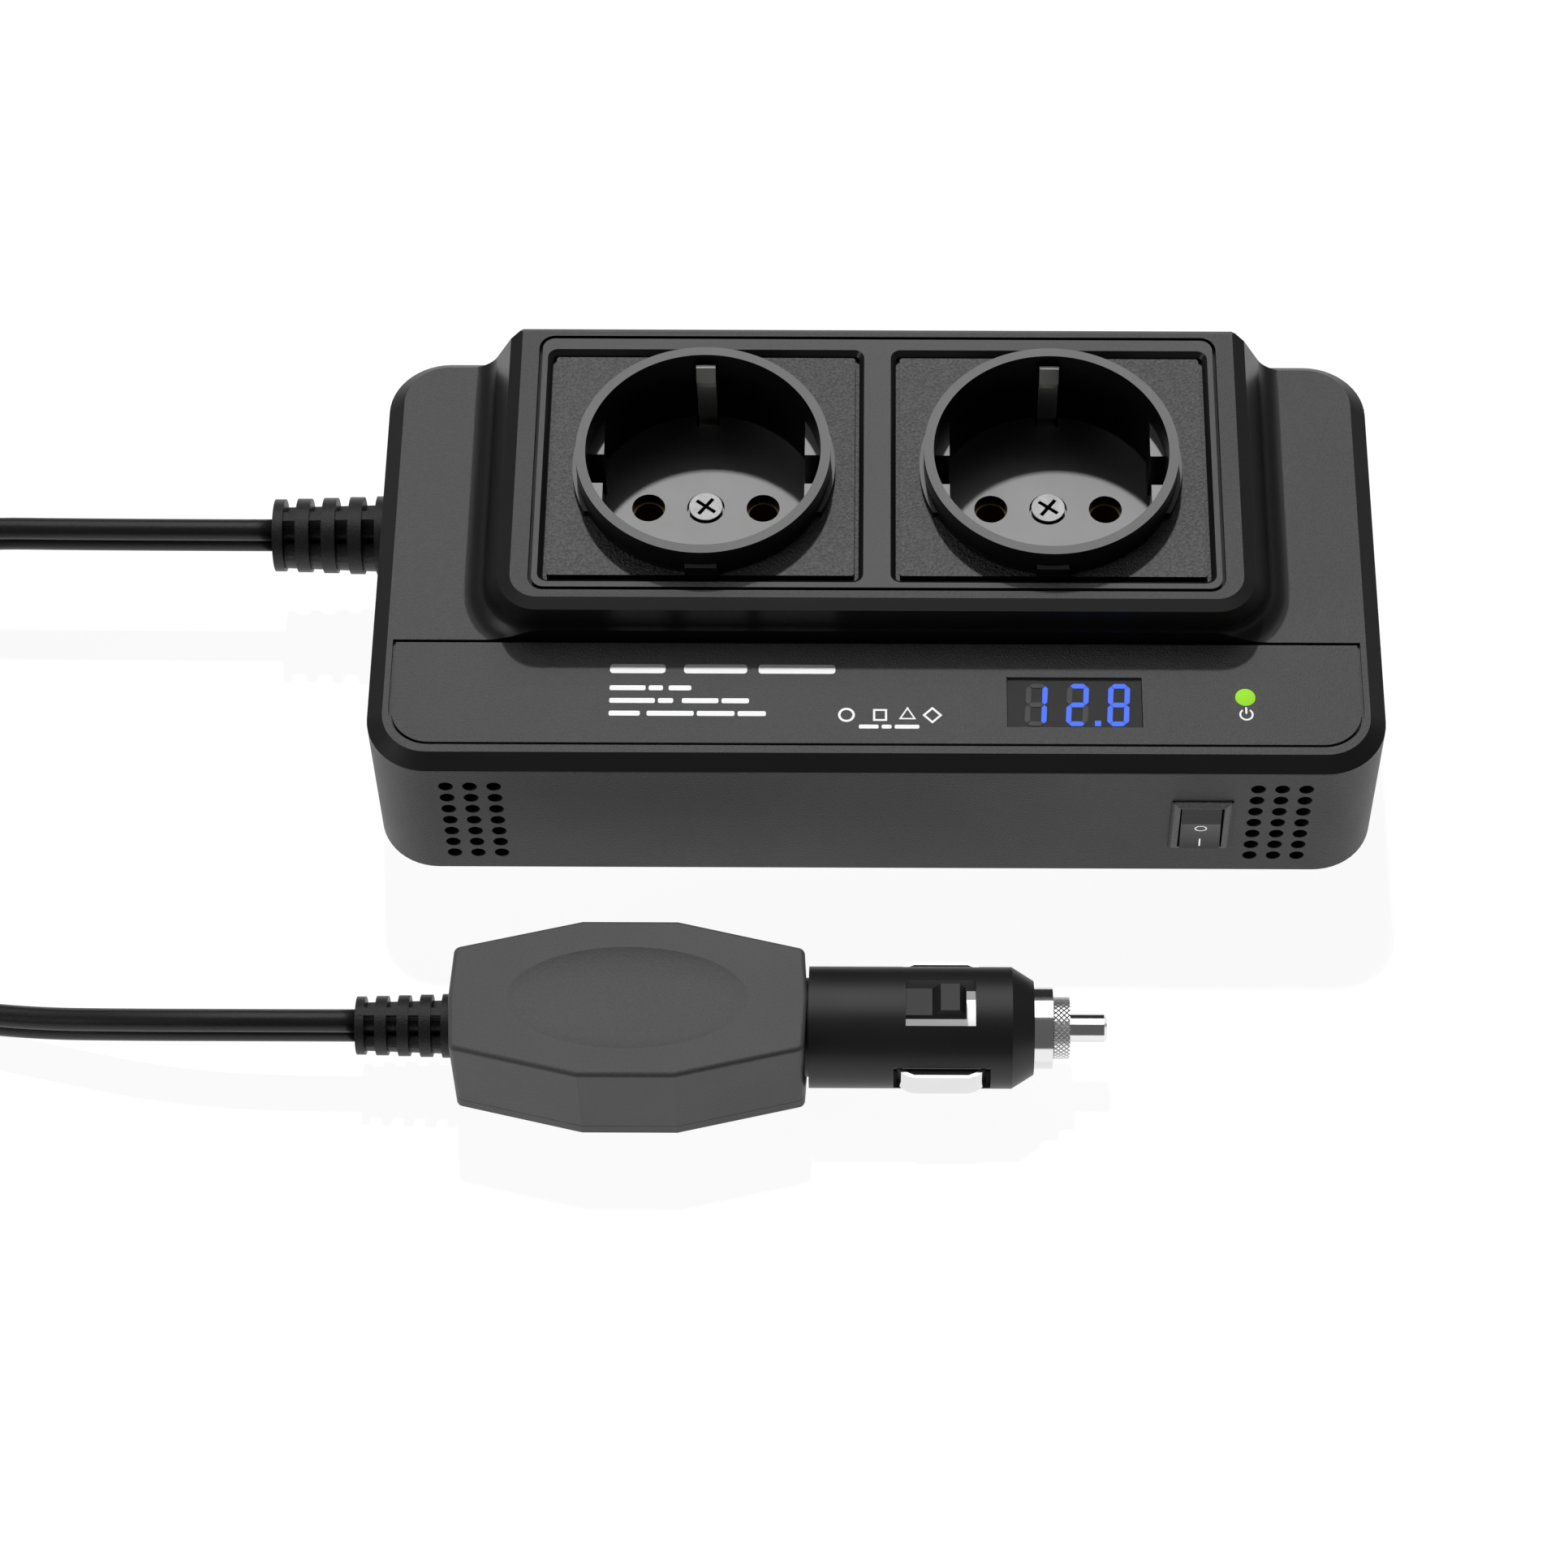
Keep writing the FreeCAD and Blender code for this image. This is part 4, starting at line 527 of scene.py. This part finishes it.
def rocker(name):
    """Smooth key, its light and shade painted: painted shade above its ridge, painted light below
    it and a painted highlight next to it.
    """
    finish = Finish(name, specular=0.3)
    height = finish.parts_of(finish.place)[2]
    # painted shade above the ridge, and painted light below it that grows to a painted highlight
    # next to the ridge
    lower = finish.ramp(height, (RIDGE + 0.05) * MM, (RIDGE - 0.05) * MM)
    near = finish.ramp(height, (RIDGE - 5) * MM, RIDGE * MM, KEY_LIT_GREY, KEY_HIGHLIGHT_GREY)
    painted_lit_colour = finish.tree.nodes.new("ShaderNodeCombineColor")
    for channel in painted_lit_colour.inputs[:3]:
        finish.fill(channel, near)
    finish.set("Base Color", finish.mix(lower, grey(KEY_SHADE_GREY), painted_lit_colour.outputs[0]))
    finish.set("Roughness", finish.slow(6, 0.28, 0.34))
    return finish.made


def knurled(name, colour, roughness):
    """Crossed diagonal grooves round the plug's axis, painted darker in the grooves as shade."""
    finish = Finish(name, metallic=1.0)
    x, y, z = finish.parts_of(finish.place)
    turn = finish.math("ARCTAN2", finish.math("SUBTRACT", y, PLUG_AXIS[0] * MM),
                       finish.math("SUBTRACT", z, PLUG_AXIS[1] * MM))
    teeth = round(math.pi * KNURL_DIAMETER / KNURL_PITCH / DIAGONAL)
    around = finish.math("MULTIPLY", turn, float(teeth))
    along = finish.math("MULTIPLY", x, 2 * math.pi / (KNURL_PITCH * DIAGONAL * MM))
    crossed = []
    for operation in ("ADD", "SUBTRACT"):
        half_wave = finish.math("MULTIPLY", 0.5, finish.math(operation, around, along))
        crossed.append(finish.math("ABSOLUTE", finish.math("SINE", half_wave)))
    height = finish.ramp(finish.math("MINIMUM", *crossed), 0.0, 0.55)
    # the grooves are painted darker as shade, besides being bumped
    finish.set("Base Color", finish.mix(height, grey(colour * 0.35), grey(colour)))
    finish.set("Roughness", finish.slow(3, roughness - SMUDGE, roughness + SMUDGE))
    finish.bump(height, 0.14)
    return finish.made


case_black = case("case_black")
cover_black = cover("cover_black")
label_black = plain("label_black", grey(TOP_GREY * 0.96), 0.5, GRAIN, 0.2, specular=0.3)
bezel_black = bezel("bezel_black")
left_socket = socket("left_socket", -SOCKET_ACROSS)
right_socket = socket("right_socket", SOCKET_ACROSS)
hidden_black = plain("hidden_black", grey(0.006), 0.5, specular=0.2)
gloss_black = plain("gloss_black", grey(0.006), 0.16, mottle=0.05)
barrel_black = plain("barrel_black", grey(0.008), 0.42, mottle=0.05, specular=0.4)
switch_black = switch_frame("switch_black")
rocker_black = rocker("rocker_black")
rubber_black = plain("rubber_black", grey(0.010), 0.40, 0.25, 0.12, specular=0.3)
lead_black = plain("lead_black", grey(0.010), 0.34, 0.3, 0.05, specular=0.3)
plug_black = plain("plug_black", grey(0.056), 0.5, 0.3, 0.06, specular=0.35)
bright_nickel = plain("bright_nickel", grey(0.80), 0.12, mottle=0.03, metallic=1.0)
knurled_nickel = knurled("knurled_nickel", 1.0, 0.3)
spring_steel = plain("spring_steel", (0.66, 0.66, 0.64), 0.28, mottle=0.05, metallic=1.0)
zinc_steel = plain("zinc_steel", (0.50, 0.50, 0.49), 0.42, mottle=0.12, metallic=1.0)
screw_steel = slotted("screw_steel", 0.42)
brass = plain("brass", (0.24, 0.18, 0.09), 0.45, metallic=1.0)
# the liner glows though it is no lamp: painted light that keeps it white in the shade of its slits
glowing_white_nylon = plain("glowing_white_nylon", grey(0.80), 0.45, mottle=0.03, glow=(grey(1.0), 0.35))
window_clear = plain("window_clear", grey(0.02), 0.4, mottle=0.05, specular=0.05, alpha=0.15)
module_grey = plain("module_grey", grey(0.046), 0.5, mottle=0.05, specular=0.2)
segment_blue = plain("segment_blue", (0.02, 0.05, 0.3), 0.4, glow=((0.07, 0.18, 1.0), 1.1))
segment_grey = plain("segment_grey", grey(0.085), 0.5, mottle=0.05)
led_green = plain("led_green", (0.06, 0.16, 0.005), 0.5, mottle=0.05, specular=0.1,
                  glow=((0.46, 1.0, 0.06), 0.62))
print_white = plain("print_white", grey(0.86), 0.5, mottle=0.02)
# the rocker's marks glow though they are no lamp: painted light
glowing_mark_white = plain("glowing_mark_white", grey(0.86), 0.5, mottle=0.02, glow=(grey(1.0), 0.5))
board_green = plain("board_green", (0.02, 0.15, 0.06), 0.35, mottle=0.2)
ferrite = plain("ferrite", grey(0.04), 0.6, 0.2)
copper = plain("copper", (0.70, 0.33, 0.14), 0.35, metallic=1.0)
sleeve_blue = plain("sleeve_blue", (0.03, 0.06, 0.18), 0.35)
aluminium = plain("aluminium", grey(0.62), 0.40, metallic=1.0)
tongue_blue = plain("tongue_blue", (0.06, 0.20, 0.62), 0.4)
tie_black = plain("tie_black", grey(0.02), 0.3)
glass = plain("glass", (0.8, 0.85, 0.83), 0.08, mottle=0.02)

FINISHES = {
    "lower_case": case_black, "top_cover": cover_black, "label_panel": label_black,
    "socket_bezel": bezel_black, "socket_left": left_socket, "socket_right": right_socket,
    "socket_carrier_left": hidden_black, "socket_carrier_right": hidden_black,
    "pin_contacts_left": brass, "pin_contacts_right": brass, "earth_clip_left": spring_steel,
    "earth_clip_right": spring_steel, "socket_screws": screw_steel, "switch_body": switch_black,
    "rocker_button": rocker_black, "switch_terminals": brass, "display_module": module_grey,
    "display_window": window_clear, "display_digits_lit": segment_blue,
    "display_digits_dark": segment_grey, "power_led": led_green, "main_board": board_green,
    "transformer_core": ferrite, "transformer_winding": copper, "input_capacitors": sleeve_blue,
    "bus_capacitor": sleeve_blue, "heatsink": aluminium, "power_transistors": gloss_black,
    "usb_board": board_green, "usb_port_1": spring_steel, "usb_port_2": spring_steel,
    "usb_port_3": spring_steel, "usb_port_4": spring_steel, "usb_tongues": tongue_blue,
    "fan_frame": gloss_black, "fan_rotor": gloss_black, "case_screws": zinc_steel,
    "foot_front_left": rubber_black, "foot_front_right": rubber_black,
    "foot_back_left": rubber_black, "foot_back_right": rubber_black,
    "cord_boot": rubber_black, "cord_tie": tie_black,
    "plug_boot": rubber_black, "plug_housing": plug_black, "plug_base": plug_black,
    "plug_screws": zinc_steel, "plug_barrel": barrel_black, "plug_liner": glowing_white_nylon,
    "catch_tongue": barrel_black, "contact_front": bright_nickel, "contact_back": bright_nickel,
    "nose_collar": bright_nickel, "fuse_cap": knurled_nickel, "tip_pin": bright_nickel,
    "tip_spring": spring_steel, "glass_fuse": glass,
}


def dress(piece, finish):
    piece.data.materials.clear()
    piece.data.materials.append(finish)


for name, finish in FINISHES.items():
    dress(nodes[name], finish)
dress(lead, lead_black)
dress(spring, spring_steel)


SHARP = 50                              # degrees between faces from which an edge is rounded
ROUNDING_STEPS = 3


def soften(piece, width):
    """Round a node's sharp edges."""
    bevel = piece.modifiers.new("soften", "BEVEL")
    bevel.width = width * MM
    bevel.segments = ROUNDING_STEPS
    bevel.limit_method = "ANGLE"
    bevel.angle_limit = math.radians(SHARP)
    bevel.use_clamp_overlap = True
    bevel.harden_normals = False


for name, width in (("rocker_button", 0.25), ("socket_screws", 0.06), ("catch_tongue", 0.15),
                    ("nose_collar", 0.25), ("contact_front", 0.12), ("contact_back", 0.12)):
    soften(nodes[name], width)


# ---- print --------------------------------------------------------------------------------------

PRINT_LEVEL = 32.47                     # just above the panel
PRINT_THICKNESS = 0.015
RING_STEPS = 40

# the rows of bars that stand for print: left, right, bottom, top, relative lengths of the words
TITLE_ROW = (-23.0, -21.25)
TITLE_BARS = tuple((left, right, *TITLE_ROW, (1,))
                   for left, right in ((-43.05, -34.1), (-31.1, -20.9), (-19.05, -6.65)))
SMALL_BARS = (
    (-43.0, -34.4, -26.3, -25.35, (5, 2)), (-33.5, -29.85, -26.3, -25.35, (1,)),
    (-43.0, -32.7, -28.75, -27.8, (6, 2)), (-31.3, -20.5, -28.75, -27.8, (4, 3)),
    (-43.0, -38.0, -31.2, -30.25, (1,)), (-36.9, -17.75, -31.2, -30.25, (5, 4, 3)),
    (-2.8, 6.9, -33.5, -32.75, (4, 2, 5)),
)
WORD_GAP = 0.5

# plain symbols: a ring, then a square, a triangle and a diamond as middle, first corner and sides
SYMBOL_ROW = -30.9
RING_MIDDLE, RING_OUTER, RING_INNER = -4.8, 1.35, 0.95
SYMBOLS = ((0.6, 45, 4), (5.0, 90, 3), (9.0, 0, 4))
SYMBOL_OUTER, SYMBOL_INNER = 1.6, 1.1

POWER_MIDDLE = (59.45, -30.55)          # the power symbol below the light
POWER_OUTER, POWER_INNER = 1.15, 0.85
POWER_ARC = (125, 415)                  # degrees
STROKE_HALF, STROKE_LOW, STROKE_HIGH = 0.16, 0.1, 1.4

# the marks on the rocker, across and up
RING_MARK, RING_MARK_OUTER, RING_MARK_INNER = (52.85, 14.8), 1.0, 0.82
RING_MARK_SQUASH = 0.55
LINE_MARK, LINE_MARK_LOW = (52.68, 52.92), 10.9
LINE_MARK_PARTS, LINE_MARK_STEP = 4, 0.4
MARK_LIFT = 0.02                        # above and below the key's face
BEFORE_KEY = -46                        # a place in front of the key, from which to look for it


def plates(name, pairs, finish, body):
    """Thin closed plates in one piece, each a pair of rings of places, its front and its rear."""
    mesh = bpy.data.meshes.new(name)
    work = bmesh.new()
    for pair in pairs:
        front, rear = ([work.verts.new(place) for place in ring] for ring in pair)
        work.faces.new(front)
        work.faces.new(list(reversed(rear)))
        for index in range(len(front)):
            turn = (index + 1) % len(front)
            work.faces.new((front[turn], front[index], rear[index], rear[turn]))
    bmesh.ops.recalc_face_normals(work, faces=work.faces)
    work.to_mesh(mesh)
    work.free()
    piece = bpy.data.objects.new(name, mesh)
    bpy.context.scene.collection.objects.link(piece)
    dress(piece, finish)
    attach(piece, body)


def printed(name, outlines):
    """Print on the panel, from outlines that are lists of plan points."""
    levels = (PRINT_LEVEL, PRINT_LEVEL - PRINT_THICKNESS)
    pairs = [[[mm(x, y, level) for x, y in outline] for level in levels] for outline in outlines]
    plates(name, pairs, print_white, "inverter")


def bar(x0, y0, x1, y1, end=0.3):
    """A rounded bar between two corners, its corners rounded by a share of its lesser side."""
    radius = min(abs(y1 - y0), abs(x1 - x0)) * end
    corners = ((x1, y0, -90), (x1, y1, 0), (x0, y1, 90), (x0, y0, 180))
    points = []
    for x, y, start in corners:
        centre_x = x - radius if x == x1 else x + radius
        centre_y = y + radius if y == y0 else y - radius
        for step in range(5):
            angle = math.radians(start + 90 * step / 4)
            points.append((centre_x + radius * math.cos(angle),
                           centre_y + radius * math.sin(angle)))
    return points


def ring_parts(x, y, outer, inner, start=0.0, stop=360.0, squash=1.0):
    """A ring or an arc of one, as quads."""
    parts = []
    for step in range(RING_STEPS):
        near, far = (math.radians(start + (stop - start) * (step + offset) / RING_STEPS)
                     for offset in (0, 1))
        parts.append([
            (x + outer * math.cos(near), y + outer * math.sin(near) * squash),
            (x + outer * math.cos(far), y + outer * math.sin(far) * squash),
            (x + inner * math.cos(far), y + inner * math.sin(far) * squash),
            (x + inner * math.cos(near), y + inner * math.sin(near) * squash),
        ])
    return parts


def words(left, right, low, high, lengths):
    """A row of bars of the given lengths that stands for a line of small print."""
    scale = (right - left - WORD_GAP * (len(lengths) - 1)) / sum(lengths)
    row = []
    for length in lengths:
        row.append(bar(left, low, left + length * scale, high))
        left += length * scale + WORD_GAP
    return row


def hollow(x, y, turn, count):
    """The sides of a regular outline, as quads."""
    points = []
    for index in range(count):
        angle = math.radians(turn + 360 * index / count)
        points.append((math.cos(angle), math.sin(angle)))
    sides = []
    for near, far in zip(points, points[1:] + points[:1]):
        sides.append([(x + u * reach, y + v * reach) for (u, v), reach in (
            (near, SYMBOL_OUTER), (far, SYMBOL_OUTER), (far, SYMBOL_INNER), (near, SYMBOL_INNER))])
    return sides


def make_print():
    """Blank bars and plain symbols where the panel is printed."""
    shapes = []
    for row in TITLE_BARS + SMALL_BARS:
        shapes += words(*row)
    shapes += ring_parts(RING_MIDDLE, SYMBOL_ROW, RING_OUTER, RING_INNER)
    for x, turn, count in SYMBOLS:
        shapes += hollow(x, SYMBOL_ROW, turn, count)
    printed("panel_print", shapes)
    x, y = POWER_MIDDLE
    mark = ring_parts(x, y, POWER_OUTER, POWER_INNER, *POWER_ARC)
    mark.append(bar(x - STROKE_HALF, y + STROKE_LOW, x + STROKE_HALF, y + STROKE_HIGH, 0.5))
    printed("power_mark", mark)


def marks_on_rocker():
    """The two positions' marks, laid on the key's own face."""
    key = nodes["rocker_button"]
    inward = key.matrix_world.inverted()
    back = inward.to_3x3() @ Vector((0, 1, 0))
    outlines = ring_parts(*RING_MARK, RING_MARK_OUTER, RING_MARK_INNER, squash=RING_MARK_SQUASH)
    left, right = LINE_MARK
    for step in range(LINE_MARK_PARTS):
        low = LINE_MARK_LOW + LINE_MARK_STEP * step
        high = low + LINE_MARK_STEP
        outlines.append([(left, low), (left, high), (right, high), (right, low)])
    pairs = []
    for outline in outlines:
        ring = []
        for x, z in outline:
            found, place, _, _ = key.ray_cast(inward @ mm(x, BEFORE_KEY, z), back)
            if not found:
                raise ValueError("a mark is off the key")
            ring.append(key.matrix_world @ place)
        pairs.append([[place - mm(0, lift, 0) for place in ring]
                      for lift in (MARK_LIFT, -MARK_LIFT)])
    plates("rocker_marks", pairs, glowing_mark_white, "rocker")


make_print()
marks_on_rocker()


# ---- floor and light ----------------------------------------------------------------------------

FLOOR_REACH = 6.0                       # in metres, as are all places and sizes below
FLOOR_GREY, FLOOR_GLOW = 0.12, 0.94     # it mostly shines by itself, so its shadows are faint
WORLD_STRENGTH = 0.12
LIGHT_AIM = (0, 0, 0)


def make_floor():
    mesh = bpy.data.meshes.new("floor")
    signs = ((-1, -1), (1, -1), (1, 1), (-1, 1))
    corners = [(x * FLOOR_REACH, y * FLOOR_REACH, 0) for x, y in signs]
    mesh.from_pydata(corners, [], [(0, 1, 2, 3)])
    floor = bpy.data.objects.new("floor", mesh)
    bpy.context.scene.collection.objects.link(floor)
    floor.data.materials.append(plain("floor_white", grey(FLOOR_GREY), 0.8, mottle=0.01,
                                      specular=0.1, glow=(grey(1.0), FLOOR_GLOW)))


def area_light(name, place, size, power, lights_matt=True, reflected=True):
    """A light that faces the object. It may be left out of matt shading or of reflections."""
    data = bpy.data.lights.new(name, "AREA")
    data.shape = "RECTANGLE"
    data.size, data.size_y = size
    data.energy = power
    lamp = bpy.data.objects.new(name, data)
    bpy.context.scene.collection.objects.link(lamp)
    lamp.location = place
    lamp.rotation_mode = "QUATERNION"
    lamp.rotation_quaternion = (Vector(LIGHT_AIM) - Vector(place)).to_track_quat("-Z", "Y")
    lamp.visible_diffuse = lights_matt
    lamp.visible_glossy = reflected


def make_light():
    world = bpy.data.worlds.new("studio")
    bpy.context.scene.world = world
    world.use_nodes = True
    background = world.node_tree.nodes["Background"]
    background.inputs["Color"].default_value = (1, 1, 1, 1)
    background.inputs["Strength"].default_value = WORLD_STRENGTH
    world.cycles_visibility.diffuse = False
    area_light("back_key", (-0.18, 1.71, 2.45), (0.12, 0.12), 108.0, reflected=False)
    area_light("back_softbox", (0, 0.5, 1.11), (1.1, 1.2), 9.5, lights_matt=False)
    area_light("left_softbox", (-1.0, -0.5, 0.35), (0.5, 0.6), 3.5)
    bpy.context.scene.view_settings.view_transform = "Standard"


make_floor()
make_light()
